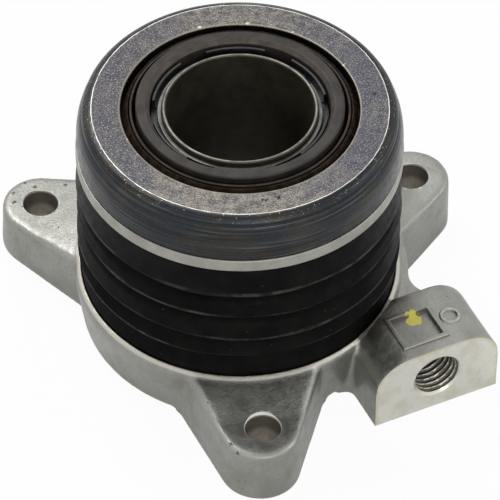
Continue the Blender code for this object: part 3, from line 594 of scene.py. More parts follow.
@dataclass(frozen=True)
class DrilledFinish:
    """Wall of a drilled or bored hole: greyish brown, with the drill's lines round it and painted
    shade lower down.
    """

    wall: Colour = (206, 200, 188)
    stain: Colour = (166, 157, 142)
    deep: Colour = (106, 100, 90)
    lip: Colour = (232, 231, 226)
    top: float = 14.2

    def make(self) -> Material:
        """Build the material of the drilled holes and bores.

        Returns:
            The finished material.
        """
        tree = Tree("drilled_aluminium")
        flat = tree.vector("MULTIPLY", tree.place, (0.08, 0.08, 1.0))
        lines = tree.grain(0.45, 2.0, 0.6, flat, seed=6.0)
        patch = tree.grain(2.6, 4.0, 0.7, seed=2.0)
        colour = tree.blend(tree.rise(patch, 0.35, 0.68, 0.0, 0.6), self.wall, self.stain)
        colour = tree.blend(tree.rise(lines, 0.45, 0.7, 0.0, 0.4), colour, self.stain)
        # Painted shade: the wall darkens to the deep colour lower down in the hole.
        colour = tree.blend(tree.rise(tree.height, self.top - 6.0, self.top - 3.6, 0.0, 0.85),
                            colour, self.deep)
        mouth = tree.rise(tree.height, self.top - 0.75, self.top - 0.5, 0.0, 0.85)
        colour = tree.blend(mouth, colour, self.lip)
        rough = tree.rise(patch, 0.3, 0.7, 0.34, 0.5)
        return tree.wear(colour, rough, 0.5, tree.bump(lines, 0.015))


@dataclass(frozen=True)
class TurnedFinish:
    """Turned or pressed steel whose marks run round the axis."""

    name: str
    base: Colour
    second: Colour
    rough: tuple[float, float] = (0.3, 0.45)
    metal: float = 0.85
    line: float = 0.25
    depth: float = 0.012
    rust: Colour | None = None
    rust_level: float = 0.58
    belt: tuple[float, float] | None = None
    belt_colour: Colour | None = None

    def make(self) -> Material:
        """Build this steel's material.

        Returns:
            The finished material.
        """
        tree = Tree(self.name)
        lines = tree.rings(self.line, 3.0)
        patch = tree.grain(7.0, 4.0, 0.6)
        colour = tree.blend(tree.rise(patch, 0.36, 0.66), self.base, self.second)
        streak = tree.rise(lines, 0.3, 0.7, 0.0, 0.35)
        colour = tree.blend(streak, colour, self.second)
        if self.belt and self.belt_colour:
            low, high = self.belt
            where = tree.belt(tree.radius, low, high, 0.18)
            patchy = tree.rise(tree.grain(2.5, 4.0, 0.7, seed=4.0), 0.3, 0.62, 0.25, 1.0)
            colour = tree.blend(tree.times(where, patchy), colour, self.belt_colour)
        if self.rust:
            crumbs = tree.rise(tree.grain(1.3, 5.0, 0.7, seed=8.0), self.rust_level,
                               self.rust_level + 0.1)
            colour = tree.blend(crumbs, colour, self.rust)
        rough = tree.rise(tree.grain(3.0, 4.0, 0.6, seed=2.0), 0.3, 0.7, *self.rough)
        normal = tree.bump(lines, self.depth)
        normal = tree.bump(tree.grain(0.4, 2.0, 0.6, seed=6.0), self.depth, normal)
        return tree.wear(colour, rough, self.metal, normal)


@dataclass(frozen=True)
class FaceFinish:
    """Turning ring: mottled grey contact face, bright worn rim, blued turned shoulder; painted
    glints and shade.
    """

    face: Colour = (130, 126, 120)
    face_dark: Colour = (76, 75, 75)
    violet: Colour = (70, 73, 90)
    shade: Colour = (48, 48, 57)
    tan: Colour = (150, 141, 125)
    # Colour of the painted glints and of the crumbs.
    glint_and_crumb: Colour = (222, 213, 195)
    grit: Colour = (54, 52, 50)
    pale: Colour = (186, 179, 166)
    shoulder: Colour = (64, 64, 61)
    shoulder_blue: Colour = (50, 54, 60)
    shoulder_brown: Colour = (62, 56, 51)
    line_dark: Colour = (36, 37, 38)
    line_pale: Colour = (112, 112, 110)
    rim: Colour = (240, 238, 230)
    speck: Colour = (38, 32, 28)
    rim_radius: float = 34.75
    bore_edge: float = 28.3
    face_z: float = 67.8
    right: tuple[float, float] = (0.9, -0.44)
    left: tuple[float, float] = (-0.9, 0.44)
    front: tuple[float, float] = (-0.44, -0.9)
    back: tuple[float, float] = (0.7, 0.7)
    nicks: tuple[Spot, ...] = (
        (-7.5, -29.9, 67.8, 0.6), (-8.4, -29.4, 67.8, 0.4), (-4.7, -30.5, 67.8, 0.5),
        (-12.6, -29.6, 67.8, 0.4), (30.6, -9.2, 67.8, 0.4), (9.5, 31.0, 67.8, 0.4))
    crumbs: tuple[Spot, ...] = (
        (13.9, 24.9, 67.8, 0.5), (28.3, 2.7, 67.8, 0.45), (-28.2, 1.4, 67.8, 0.35),
        (3.0, 28.6, 67.8, 0.35), (22.0, 17.8, 67.8, 0.3))

    def make(self) -> Material:
        """Build the turning ring's material.

        Returns:
            The finished material.
        """
        tree = Tree("bearing_ring_steel")
        mottle = tree.grain(2.2, 6.0, 0.8)
        lines = tree.rings(0.5, 5.0, 0.015)
        # Painted glints: bright grains painted into the colour of face and shoulder.
        painted_glints = tree.times(tree.rise(tree.cells(0.55), 0.10, 0.24, 1.0, 0.0),
                            tree.rise(tree.grain(1.2, 2.0, 0.6, seed=19.0), 0.46, 0.62))
        on_face = tree.times(
            tree.rise(tree.height, self.face_z - 0.25, self.face_z - 0.08),
            tree.rise(tree.radius, self.rim_radius - 0.05, self.rim_radius + 0.35, 1.0, 0.0))
        colour = tree.blend(on_face, self.shoulder_colour(tree, lines, painted_glints),
                            self.face_colour(tree, mottle, painted_glints))
        wander = tree.rise(tree.grain(2.0, 4.0, 0.7, seed=41.0), 0.3, 0.7, -0.06, 0.06)
        edge = tree.plus(tree.radius, wander)
        rim = tree.belt(edge, self.rim_radius - 0.02, self.rim_radius + 0.14, 0.07)
        rim = tree.times(rim, tree.rise(tree.height, self.face_z - 0.5, self.face_z - 0.3))
        patchy = tree.grain(4.0, 3.0, 0.6, seed=43.0)
        rim = tree.times(rim, tree.rise(patchy, 0.3, 0.55, 0.45, 1.0))
        colour = tree.blend(rim, colour, self.rim)
        bore = tree.times(tree.rise(edge, self.bore_edge, self.bore_edge + 0.3, 1.0, 0.0),
                          tree.rise(tree.height, self.face_z - 0.4, self.face_z - 0.2))
        colour = tree.blend(tree.times(bore, 0.6), colour, self.tan)
        rough_face = tree.rise(mottle, 0.3, 0.7, 0.34, 0.5)
        rough_side = tree.rise(tree.grain(2.0, 4.0, 0.6, seed=47.0), 0.3, 0.7, 0.22, 0.36)
        mixer = tree.nodes.new("ShaderNodeMix")
        tree.feed(mixer.inputs["Factor"], on_face)
        tree.links.new(rough_side, mixer.inputs[2])
        tree.links.new(rough_face, mixer.inputs[3])
        normal = tree.bump(lines, 0.02)
        normal = tree.bump(tree.grain(0.45, 3.0, 0.7, seed=53.0), 0.02, normal)
        normal = tree.bump(mottle, 0.012, normal)
        return tree.wear(colour, mixer.outputs[0], 0.84, normal)

    def face_colour(self, tree: Tree, mottle: Socket, painted_glints: Socket) -> Socket:
        """Mottled contact face, blued at the sides, browned in front, with painted shade on the
        left and painted glints.

        Args:
            tree: The material's tree.
            mottle: Noise of the worn skin.
            painted_glints: Mask of the painted glints.

        Returns:
            The colour.
        """
        colour = tree.blend(tree.rise(mottle, 0.4, 0.6), self.face_dark, self.face)
        sides = tree.maths("MAXIMUM", tree.maths("ABSOLUTE", tree.along(self.right)),
                           tree.times(tree.along(self.back), 0.4))
        drift = tree.grain(11.0, 3.0, 0.5, seed=13.0)
        blued = tree.times(tree.rise(sides, 8.0, 26.0), tree.rise(drift, 0.36, 0.6, 0.5, 1.0))
        colour = tree.blend(tree.times(blued, 0.85), colour, self.violet)
        # Painted shade over the left side of the face.
        shaded = tree.rise(tree.along(self.left), 6.0, 30.0, 0.0, 0.55)
        colour = tree.blend(shaded, colour, self.shade)
        warm = tree.times(tree.rise(tree.along(self.front), 12.0, 30.0, 0.15, 0.8),
                          tree.rise(tree.grain(3.5, 4.0, 0.6, seed=17.0), 0.4, 0.68))
        colour = tree.blend(tree.times(warm, 0.7), colour, self.tan)
        turning = tree.rings(0.7, 61.0, 0.03)
        colour = tree.blend(tree.rise(turning, 0.5, 0.66, 0.0, 0.4), colour, self.violet)
        salt = tree.grain(0.38, 3.0, 0.8, seed=71.0)
        colour = tree.blend(tree.rise(salt, 0.49, 0.38, 0.0, 0.7), colour, self.grit)
        colour = tree.blend(tree.rise(salt, 0.53, 0.66, 0.0, 0.6), colour, self.pale)
        # Painted glints on the face; the same colour also marks the crumbs.
        colour = tree.blend(tree.times(painted_glints, 0.6), colour, self.glint_and_crumb)
        specks = tree.times(tree.rise(tree.cells(2.3), 0.05, 0.10, 1.0, 0.0),
                            tree.rise(tree.grain(6.0, 2.0, 0.5, seed=23.0), 0.58, 0.64))
        colour = tree.blend(specks, colour, self.speck)
        colour = tree.blend(tree.spots(self.crumbs), colour, self.glint_and_crumb)
        return tree.blend(tree.spots(self.nicks), colour, self.speck)

    def shoulder_colour(self, tree: Tree, lines: Socket, painted_glints: Socket) -> Socket:
        """Blued shoulder with dark and pale turning lines, and painted glints that grow towards
        its top edge.

        Args:
            tree: The material's tree.
            lines: Noise that runs round the ring.
            painted_glints: Mask of the painted glints.

        Returns:
            The colour.
        """
        colour = tree.blend(tree.rise(tree.grain(8.0, 4.0, 0.6, seed=29.0), 0.38, 0.62),
                            self.shoulder_blue, self.shoulder)
        brown = tree.rise(tree.grain(5.0, 4.0, 0.6, seed=37.0), 0.52, 0.7, 0.0, 0.8)
        colour = tree.blend(brown, colour, self.shoulder_brown)
        colour = tree.blend(tree.rise(lines, 0.44, 0.6, 0.0, 0.75), colour, self.line_dark)
        colour = tree.blend(tree.rise(lines, 0.4, 0.3, 0.0, 0.5), colour, self.line_pale)
        # Painted highlight: the glints grow stronger towards the shoulder's top edge.
        high = tree.rise(tree.height, self.face_z - 1.6, self.face_z - 0.4, 0.12, 0.8)
        return tree.blend(tree.times(painted_glints, high), colour, self.glint_and_crumb)


@dataclass(frozen=True)
class RubberFinish:
    """Black rubber with a satin skin, scuffs, a little lint and a painted highlight along the
    boot's lip edges.
    """

    name: str
    base: Colour = (8, 8, 8)
    # Colour of the scuffs and of the painted highlight on the boot's lip edges.
    scuff_and_sheen: Colour = (88, 85, 80)
    lint: Colour = (104, 100, 94)
    dust: Colour | None = None
    rough: tuple[float, float] = (0.36, 0.5)
    gloss: float = 0.05
    lip_radius: float | None = None
    lip_top: float = 45.5

    def make(self) -> Material:
        """Build this rubber's material.

        Returns:
            The finished material.
        """
        tree = Tree(self.name)
        patch = tree.grain(6.0, 4.0, 0.6)
        colour = tree.blend(tree.rise(patch, 0.35, 0.7, 0.0, 0.05), self.base, self.scuff_and_sheen)
        # Painted highlight along the outer edges of the boot's lips, partly wear.
        if self.lip_radius:
            line = tree.rise(tree.radius, self.lip_radius - 0.08, self.lip_radius + 0.06)
            line = tree.times(line, tree.rise(tree.height, self.lip_top - 0.5, self.lip_top,
                                              1.0, 0.0))
            patchy = tree.rise(tree.grain(3.5, 4.0, 0.7, seed=14.0), 0.35, 0.62, 0.1, 0.7)
            colour = tree.blend(tree.times(line, patchy), colour, self.scuff_and_sheen)
        lint = tree.rise(tree.cells(3.1), 0.018, 0.045, 0.9, 0.0)
        colour = tree.blend(lint, colour, self.lint)
        if self.dust:
            powder = tree.rise(tree.grain(1.8, 5.0, 0.75, seed=9.0), 0.42, 0.66)
            colour = tree.blend(powder, colour, self.dust)
        rough = tree.rise(tree.grain(2.4, 4.0, 0.6, seed=2.0), 0.3, 0.7, *self.rough)
        skin = tree.bump(tree.grain(0.5, 3.0, 0.6, seed=6.0), 0.015)
        skin = tree.bump(tree.rings(1.2, 7.0), 0.02, skin)
        return tree.wear(colour, rough, 0.0, skin, Specular_IOR_Level=self.gloss)


@dataclass(frozen=True)
class MouldedFinish:
    """Moulded plastic with a faint grain and polished patches."""

    name: str
    base: Colour
    second: Colour
    rough: tuple[float, float] = (0.24, 0.4)

    def make(self) -> Material:
        """Build this plastic's material.

        Returns:
            The finished material.
        """
        tree = Tree(self.name)
        colour = tree.blend(tree.rise(tree.grain(3.0, 4.0, 0.6), 0.35, 0.7), self.base,
                            self.second)
        rough = tree.rise(tree.grain(1.6, 3.0, 0.6, seed=5.0), 0.3, 0.7, *self.rough)
        return tree.wear(colour, rough, 0.0, tree.bump(tree.grain(0.6, 2.0, 0.6), 0.01))


# Mesh making


def softened(corners: Sequence[Corner]) -> Grid:
    """Round the corners of a closed line, with a short straight run beside each arc.

    Args:
        corners: Radius, height and rounding of each corner.

    Returns:
        The points of the rounded line, one row of radius and height each.
    """
    made: list[Grid] = []
    count = len(corners)
    for index, (radius, height, rounding) in enumerate(corners):
        here = np.array((radius, height))
        if rounding <= 0:
            made.append(here)
            continue
        back = np.array(corners[index - 1][:2]) - here
        ahead = np.array(corners[(index + 1) % count][:2]) - here
        back_long, ahead_long = np.linalg.norm(back), np.linalg.norm(ahead)
        back, ahead = back / back_long, ahead / ahead_long
        opening = math.acos(max(-1.0, min(1.0, float(back @ ahead))))
        if opening > math.radians(FLAT_DEG):
            made.append(here)
            continue
        reach = min(rounding / math.tan(opening / 2), REACH_SHARE * back_long,
                    REACH_SHARE * ahead_long)
        true_round = reach * math.tan(opening / 2)
        middle = back + ahead
        centre = here + middle / np.linalg.norm(middle) * true_round / math.sin(opening / 2)
        start, end = here + back * reach - centre, here + ahead * reach - centre
        sweep = math.atan2(start[0] * end[1] - start[1] * end[0], float(start @ end))
        steps = max(2, round(ARC_STEPS * abs(sweep) / (math.pi / 2)))
        made.append(here + back * min(reach + HOLD, HOLD_SHARE * back_long))
        for step in range(steps + 1):
            turn = sweep * step / steps
            cos, sin = math.cos(turn), math.sin(turn)
            made.append(centre + (start[0] * cos - start[1] * sin,
                                  start[0] * sin + start[1] * cos))
        made.append(here + ahead * min(reach + HOLD, HOLD_SHARE * ahead_long))
    return np.array(made)


def edged(points: Sequence[tuple[float, float]], rounding: float) -> list[Corner]:
    """Give every point of a line the same rounding."""
    return [(radius, height, rounding) for radius, height in points]


def shown(name: str, data: bpy.types.ID) -> Piece:
    """Make an object and link it to the scene.

    Args:
        name: Name of the object.
        data: Its mesh, light or camera.

    Returns:
        The object.
    """
    obj = bpy.data.objects.new(name, data)
    bpy.context.scene.collection.objects.link(obj)
    return obj


def from_shape(name: str, shape: bmesh.types.BMesh) -> Piece:
    """Turn a finished shape into an object in the scene.

    Args:
        name: Name of the object.
        shape: The shape, which is used up.

    Returns:
        The object.
    """
    mesh = bpy.data.meshes.new(name)
    shape.to_mesh(mesh)
    shape.free()
    return shown(name, mesh)


def tube_faces(rows: int, count: int) -> list[Sequence[int]]:
    """Faces of a capped tube whose rows of points lie one after another.

    Args:
        rows: How many rows there are.
        count: Points in each row.

    Returns:
        Corner numbers of the two caps and of every wall face.
    """
    faces: list[Sequence[int]] = [range(count), range((rows - 1) * count, rows * count)]
    for base in range(0, (rows - 1) * count, count):
        for index in range(count):
            after = (index + 1) % count
            faces.append((base + index, base + after, base + count + after, base + count + index))
    return faces


def solid(name: str, points: Grid, faces: Sequence[Sequence[int]], merge: bool = False) -> Piece:
    """Make a smooth-shaded object from points in millimetres about the bearing axis.

    Args:
        name: Name of the object.
        points: One row of x, y and z each.
        faces: Corner numbers of each face.
        merge: Whether points that fall together become one.

    Returns:
        The object, linked to the scene, its normals outward.
    """
    shifted = (np.asarray(points, float) + (AXIS_X, AXIS_Y, 0.0)) * MM
    mesh = bpy.data.meshes.new(name)
    mesh.from_pydata(shifted.tolist(), [], [list(face) for face in faces])
    shape = bmesh.new()
    shape.from_mesh(mesh)
    if merge:
        bmesh.ops.remove_doubles(shape, verts=shape.verts, dist=1e-8)
    bmesh.ops.recalc_face_normals(shape, faces=shape.faces)
    shape.to_mesh(mesh)
    shape.free()
    crease(mesh)
    return shown(name, mesh)


def crease(mesh: bpy.types.Mesh) -> None:
    """Shade a mesh smooth, with its sharp edges kept sharp."""
    mesh.shade_smooth()
    mesh.set_sharp_from_angle(angle=math.radians(SHARP_DEG))


def turned(name: str, line: Grid, steps: int = RING_STEPS, warp: Warp | None = None) -> Piece:
    """Turn a closed line about the bearing axis.

    Args:
        name: Name of the object.
        line: Radius and height of each point.
        steps: Facets round the turn.
        warp: Changes radii and heights by the turn, if given.

    Returns:
        The turned solid.
    """
    count = len(line)
    turn = np.repeat(np.linspace(0, 2 * math.pi, steps, endpoint=False)[:, None], count, 1)
    radius = np.repeat(line[None, :, 0], steps, 0)
    height = np.repeat(line[None, :, 1], steps, 0)
    if warp is not None:
        radius, height = warp(turn, radius, height)
    points = np.stack((radius * np.cos(turn), radius * np.sin(turn), height), -1)
    faces = []
    for step in range(steps):
        here, there = step * count, (step + 1) % steps * count
        for index in range(count):
            after = (index + 1) % count
            faces.append((here + index, there + index, there + after, here + after))
    return solid(name, points.reshape(-1, 3), faces, bool(line[:, 0].min() < 1e-6))


def slab(name: str, outline: Sequence[tuple[float, float]], low: float, high: float,
         top_round: float = 0.0, shrink: float = 0.0,
         foot_round: float = 0.0) -> Piece:
    """Pull a flat outline up into a solid.

    Args:
        name: Name of the object.
        outline: Corners in plan.
        low: Height of the bottom.
        high: Height of the top.
        top_round: Rounding of the top edge.
        shrink: How much the top lies inside the bottom.
        foot_round: Height above the mounting face under which the wall draws in.

    Returns:
        The solid.
    """
    flat = np.array(outline, float)
    ahead = np.roll(flat, -1, 0) - flat
    behind = flat - np.roll(flat, 1, 0)
    ahead /= np.linalg.norm(ahead, axis=1)[:, None]
    behind /= np.linalg.norm(behind, axis=1)[:, None]
    inward = np.stack((-(ahead + behind)[:, 1], (ahead + behind)[:, 0]), 1)
    inward /= np.linalg.norm(inward, axis=1)[:, None]
    shoelace = flat[:, 0] * np.roll(flat[:, 1], -1) - np.roll(flat[:, 0], -1) * flat[:, 1]
    if shoelace.sum() < 0:
        inward = -inward
    levels = [(0.0, low), (shrink, high - top_round)]
    if foot_round:
        drawn = FOOT_INSET * foot_round
        levels[:1] = [(drawn, low), (drawn, 0.0), (FOOT_BREAK * foot_round, drawn),
                      (0.0, foot_round)]
    for step in range(1, ARC_STEPS + 1 if top_round else 0):
        turn = math.pi / 2 * step / ARC_STEPS
        levels.append((shrink + top_round * (1 - math.cos(turn)),
                       high - top_round * (1 - math.sin(turn))))
    count = len(flat)
    rows = [np.column_stack((flat + inward * inset, np.full(count, level)))
            for inset, level in levels]
    return solid(name, np.vstack(rows), tube_faces(len(rows), count))


def arc(centre: tuple[float, float], radius: float, start: float, end: float,
        steps: int) -> list[tuple[float, float]]:
    """Points of an arc in plan, both ends included."""
    turns = np.radians(np.linspace(start, end, steps + 1))
    return [(centre[0] + radius * math.cos(t), centre[1] + radius * math.sin(t)) for t in turns]


def swung(points: Sequence[tuple[float, float]], angle: float) -> list[tuple[float, float]]:
    """Points in plan turned about the bearing axis by an angle in degrees."""
    cos, sin = math.cos(math.radians(angle)), math.sin(math.radians(angle))
    return [(x * cos - y * sin, x * sin + y * cos) for x, y in points]


def settle(obj: Piece) -> None:
    """Replace an object's mesh by what its modifiers make of it.

    Args:
        obj: The object.
    """
    bpy.context.view_layer.update()
    seen = obj.evaluated_get(bpy.context.evaluated_depsgraph_get())
    old, obj.data = obj.data, bpy.data.meshes.new_from_object(seen)
    obj.modifiers.clear()
    bpy.data.meshes.remove(old)


def joined(name: str, parts: Sequence[Piece]) -> Piece:
    """Gather several objects into one mesh and remove them.

    Args:
        name: Name of the new object.
        parts: The objects, which are used up.

    Returns:
        The joined object.
    """
    shape = bmesh.new()
    for part in parts:
        shape.from_mesh(part.data)
        bpy.data.objects.remove(part, do_unlink=True)
    return from_shape(name, shape)


def carve(obj: Piece, tools: Sequence[tuple[Piece, Cut]]) -> None:
    """Cut or add solids in turn, keep the tools' own finishes, and remove the tools.

    Args:
        obj: The solid that is worked.
        tools: Each tool with what it does.
    """
    for tool, cut in tools:
        change = obj.modifiers.new(tool.name, "BOOLEAN")
        change.operation = cut.value
        change.solver = "MANIFOLD"
        change.material_mode = "TRANSFER"
        change.object = tool
    settle(obj)
    for tool, _ in tools:
        bpy.data.objects.remove(tool, do_unlink=True)
    crease(obj.data)


def dress(obj: Piece, material: Material) -> Piece:
    """Give a piece its only material.

    Args:
        obj: The piece.
        material: Its finish.

    Returns:
        The same piece.
    """
    obj.data.materials.clear()
    obj.data.materials.append(material)
    return obj


def mount(obj: Piece, body: Body, slot: Slot, *nodes: str) -> None:
    """Hand a finished piece to the frame and report it.

    Args:
        obj: The piece.
        body: Body that it rides on.
        slot: Material slot of the imported record; not used.
        *nodes: CAD nodes that it stands for.
    """
    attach(obj, body.value)
    if nodes:
        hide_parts(*nodes)
    log.info("%s: %d faces on %s", obj.name, len(obj.data.polygons), body.value)


# Sub-assemblies


@dataclass
class Casting:
    """Aluminium housing: round body, three bolt ears, port boss and cylinder tube."""

    body_radius: float = 39.2
    base_radius: float = 37.2
    wall_foot: float = 13.2
    rim_top: float = 16.6
    recess_radius: float = 37.9
    recess_floor: float = 13.0
    tube_radius: float = 28.5
    tube_top: float = 32.9
    bore_radius: float = 24.5
    allowance: float = 1.5
    ear_pitch: float = 52.5
    ear_angles: tuple[float, float, float] = (10.8, 130.8, 250.8)
    ear_tip: float = 9.3
    ear_height: float = 14.2
    ear_flare: float = 20.0
    ear_root: float = 3.0
    ear_hole: float = 4.3
    ear_chamfer: float = 0.15
    port_x: float = 29.0
    port_z: float = 10.1
    port_face: float = -48.9
    port_width: float = 32.4
    port_height: float = 19.2
    port_depth: float = 20.9
    port_corner: float = 8.5
    port_back_round: float = 3.0
    port_root: float = 2.6
    web_radius: float = 41.0
    web_root: float = 6.5
    skim: float = 0.9
    thread_crest: float = 5.46
    thread_depth: float = 0.55
    thread_pitch: float = 1.5
    thread_reach: float = 14.0
    thread_columns: int = 72
    thread_rows: int = 10
    thread_flat: float = 1.25
    thread_slope: float = 2.9
    drill_point: float = 2.7
    mouth_chamfer: float = 0.8
    voxel: float = 0.6
    smoothing: int = 7
    broad_wave: tuple[float, float] = (6.0, 0.05)
    fine_wave: tuple[float, float] = (1.6, 0.022)
    above: float = 60.0
    rim_round: float = 1.5
    base_round: float = 2.6
    ear_round: float = 0.9
    ear_grow: float = 0.25
    ear_lean: tuple[float, float, float] = (0.0, 0.0, -0.6)
    ear_foot: tuple[float, float, float] = (0.0, 2.6, 0.0)
    ear_draft: float = 0.3
    ramp_foot: float = 50.0
    ramp_base: float = 10.0
    ramp_slope: float = 0.16
    flange_seat: tuple[float, float] = (22.8, 2.1)
    sleeve_hole: float = 18.7
    seal_groove: tuple[float, float, float] = (20.4, 3.2, 5.2)
    chamber_floor: float = 6.0
    oil_radius: float = 1.75
    oil_turn: float = -16.0
    frame_box: tuple[float, float, float, float] = (21.4, 33.5, -45.8, -34.6)
    frame_width: float = 1.2
    frame_rise: float = 0.5
    frame_sunk: float = 1.9
    frame_round: float = 0.32
    pocket_depth: float = 0.8
    pin_place: tuple[float, float] = (36.45, -40.1)
    pin_lift: float = 0.02
    pin_ring: tuple[tuple[float, float], ...] = (
        (1.55, -1.0), (1.55, 0.0), (1.75, 0.26), (2.1, 0.36), (2.45, 0.26), (2.65, 0.0),
        (2.65, -1.0))

    def build(self, skin: Material, cut: Material, drilled: Material) -> None:
        """Cast the blank, machine it and mount it.

        Args:
            skin: Finish of the cast surfaces.
            cut: Finish of the milled surfaces and the thread.
            drilled: Finish of the holes and bores.
        """
        blank = self.blank()
        self.roughen(blank)
        dress(blank, skin)
        tools = self.relief(skin) + self.machining(skin, cut, drilled)
        carve(blank, tools)
        mount(blank, Body.HOUSING, Slot.CASTING, "housing")

    def blank(self) -> Piece:
        """Join the rough forms and round them together as a casting is.

        Returns:
            The rounded blank.
        """
        parts = [self.core()]
        for index, angle in enumerate(self.ear_angles):
            leaned = angle + self.ear_lean[index]
            parts += [self.ear(index, leaned), self.ramp(index, leaned)]
        parts += [self.boss(), self.boss_foot()]
        obj = joined("release_bearing_housing", parts)
        skin = obj.modifiers.new("Cast skin", "REMESH")
        skin.mode = "VOXEL"
        skin.voxel_size = self.voxel * MM
        flow = obj.modifiers.new("Mould rounding", "SMOOTH")
        flow.factor = 0.5
        flow.iterations = self.smoothing
        settle(obj)
        return obj

    def core(self) -> Piece:
        """Solid heart of the blank, with metal left on rim, tube and foot.

        Returns:
            The core.
        """
        points = [
            (0.0, self.tube_top + self.allowance),
            (self.tube_radius, self.tube_top + self.allowance),
            (self.tube_radius, self.rim_top + 0.05),
            (self.body_radius - self.rim_round * 0.7, self.rim_top + 0.05),
            (self.body_radius - self.rim_round * 0.2, self.rim_top - self.rim_round * 0.4),
            (self.body_radius + 0.05, self.rim_top - self.rim_round),
            (self.body_radius, self.wall_foot),
            (self.base_radius + 0.45, self.base_round), (self.base_radius, self.base_round * 0.5),
            (self.base_radius - self.base_round * 0.7, 0.0),
            (self.base_radius - self.base_round * 0.7, -self.allowance), (0.0, -self.allowance),
        ]
        return turned("core", np.array(points), 128)

    def ear(self, index: int, angle: float) -> Piece:
        """One bolt ear with a round tip, flared flanks and hollow roots.

        Args:
            index: Number of the ear.
            angle: Direction of the ear in degrees.

        Returns:
            The ear.
        """
        cut = 90.0 - self.ear_flare
        tip = arc((self.ear_pitch, 0.0), self.ear_tip + self.ear_grow, -cut, cut, 28)
        upper = self.root(tip[-1], -self.ear_flare, 1, self.base_radius, self.ear_root)
        lower = [(x, -y) for x, y in reversed(upper)]
        inner = self.base_radius * 0.7
        points = tip + upper + [self.deeper(upper[-1], inner), self.deeper(lower[0], inner)]
        points += lower
        return slab(f"ear_{index}", swung(points, angle), -self.allowance, self.ear_height,
                    self.ear_round, self.ear_draft, self.ear_foot[index])

    def ramp(self, index: int, angle: float) -> Piece:
        """Shallow ramp on which an ear's top climbs to the rim of the body.

        Args:
            index: Number of the ear.
            angle: Direction of the ear in degrees.

        Returns:
            The ramp.
        """
        across, stations = 22, 14
        flare = math.tan(math.radians(self.ear_flare))
        cut = math.radians(90.0 - self.ear_flare)
        reach = self.ear_tip + self.ear_grow
        edge_x, edge_y = self.ear_pitch + reach * math.cos(cut), reach * math.sin(cut)
        points = []
        for x in np.linspace(30.0, self.ramp_foot, stations):
            half = edge_y + (edge_x - x) * flare - self.ear_draft
            section = [(-half, self.ramp_base)]
            for y in np.linspace(-half, half, across):
                climb = max(0.0, self.ramp_foot - math.hypot(x, y)) * self.ramp_slope
                top = min(self.ear_height + climb, self.rim_top - 0.8)
                inside = min(half - abs(y), self.ear_round)
                drop = self.ear_round - math.sqrt(
                    self.ear_round ** 2 - (self.ear_round - inside) ** 2)
                section.append((y, top - drop))
            section.append((half, self.ramp_base))
            plan = swung([(x, y) for y, _ in section], angle)
            points += [(*spot, z) for spot, (_, z) in zip(plan, section)]
        return solid(f"ramp_{index}", np.array(points), tube_faces(stations, across + 2))

    @staticmethod
    def deeper(point: tuple[float, float], radius: float) -> tuple[float, float]:
        """The same direction from the axis at another radius."""
        scale = radius / math.hypot(*point)
        return point[0] * scale, point[1] * scale

    @staticmethod
    def root(wall: tuple[float, float], wall_deg: float, side: int, circle: float,
             radius: float) -> list[tuple[float, float]]:
        """Arc of the hollow corner between a straight wall and the round body.

        Args:
            wall: A point of the wall.
            wall_deg: Direction in which the wall leads away from the body.
            side: 1 where the hollow lies left of that direction, else -1.
            circle: Radius of the body.
            radius: Radius of the hollow.

        Returns:
            Points from the wall to the body.
        """
        dx, dy = math.cos(math.radians(wall_deg)), math.sin(math.radians(wall_deg))
        nx, ny = -dy * side, dx * side
        start_x, start_y = wall[0] + nx * radius, wall[1] + ny * radius
        along = start_x * dx + start_y * dy
        off = start_x * -dy + start_y * dx
        step = math.sqrt((circle + radius) ** 2 - off ** 2) - along
        centre = (start_x + dx * step, start_y + dy * step)
        on_wall = math.degrees(math.atan2(-ny, -nx))
        on_body = math.degrees(math.atan2(-centre[1], -centre[0]))
        sweep = (on_body - on_wall + 180.0) % 360.0 - 180.0
        return arc(centre, radius, on_wall, on_wall + sweep, 8)

    def boss(self) -> Piece:
        """Arched port boss, drawn standing up and laid down on its front.

        Returns:
            The boss.
        """
        left, right = self.port_x - self.port_width / 2, self.port_x + self.port_width / 2
        shoulder = self.port_height - self.port_corner
        foot = -self.port_back_round - 2 * self.allowance
        outline = [(left, foot), (right, foot)]
        outline += arc((right - self.port_corner, shoulder), self.port_corner, 0, 90, 14)
        outline += arc((left + self.port_corner, shoulder), self.port_corner, 90, 180, 14)
        obj = slab("boss", outline, -self.skim, self.port_depth, self.port_back_round)
        for vert in obj.data.vertices:
            x, height, depth = vert.co
            vert.co = (x, depth + (self.port_face + AXIS_Y) * MM, height - AXIS_Y * MM)
        obj.data.flip_normals()
        return obj

    def boss_foot(self) -> Piece:
        """Lower storey of the boss with the web that leads round to the first ear.

        Returns:
            The lower storey.
        """
        left, right = self.port_x - self.port_width / 2, self.port_x + self.port_width / 2
        left, right, front = left + 0.15, right - 0.15, self.port_face + 0.15
        back = self.port_face + self.port_depth - 0.15
        notch = self.root((left, front), -90.0, -1, self.base_radius, self.port_root)
        web = self.root((right, back), 0.0, 1, self.web_radius, self.web_root)
        web_end = math.degrees(math.atan2(web[-1][1], web[-1][0]))
        rim = arc((0.0, 0.0), self.web_radius, web_end, self.ear_angles[0] - self.ear_flare, 8)
        inner = self.base_radius * 0.7
        points = [(left, front), (right, front), (right - self.port_back_round, back)] + web
        points += rim[1:] + [self.deeper(rim[-1], inner), self.deeper(notch[-1], inner)]
        return slab("boss_foot", points + notch[::-1], -self.allowance, self.ear_height - 0.15,
                    0.6)

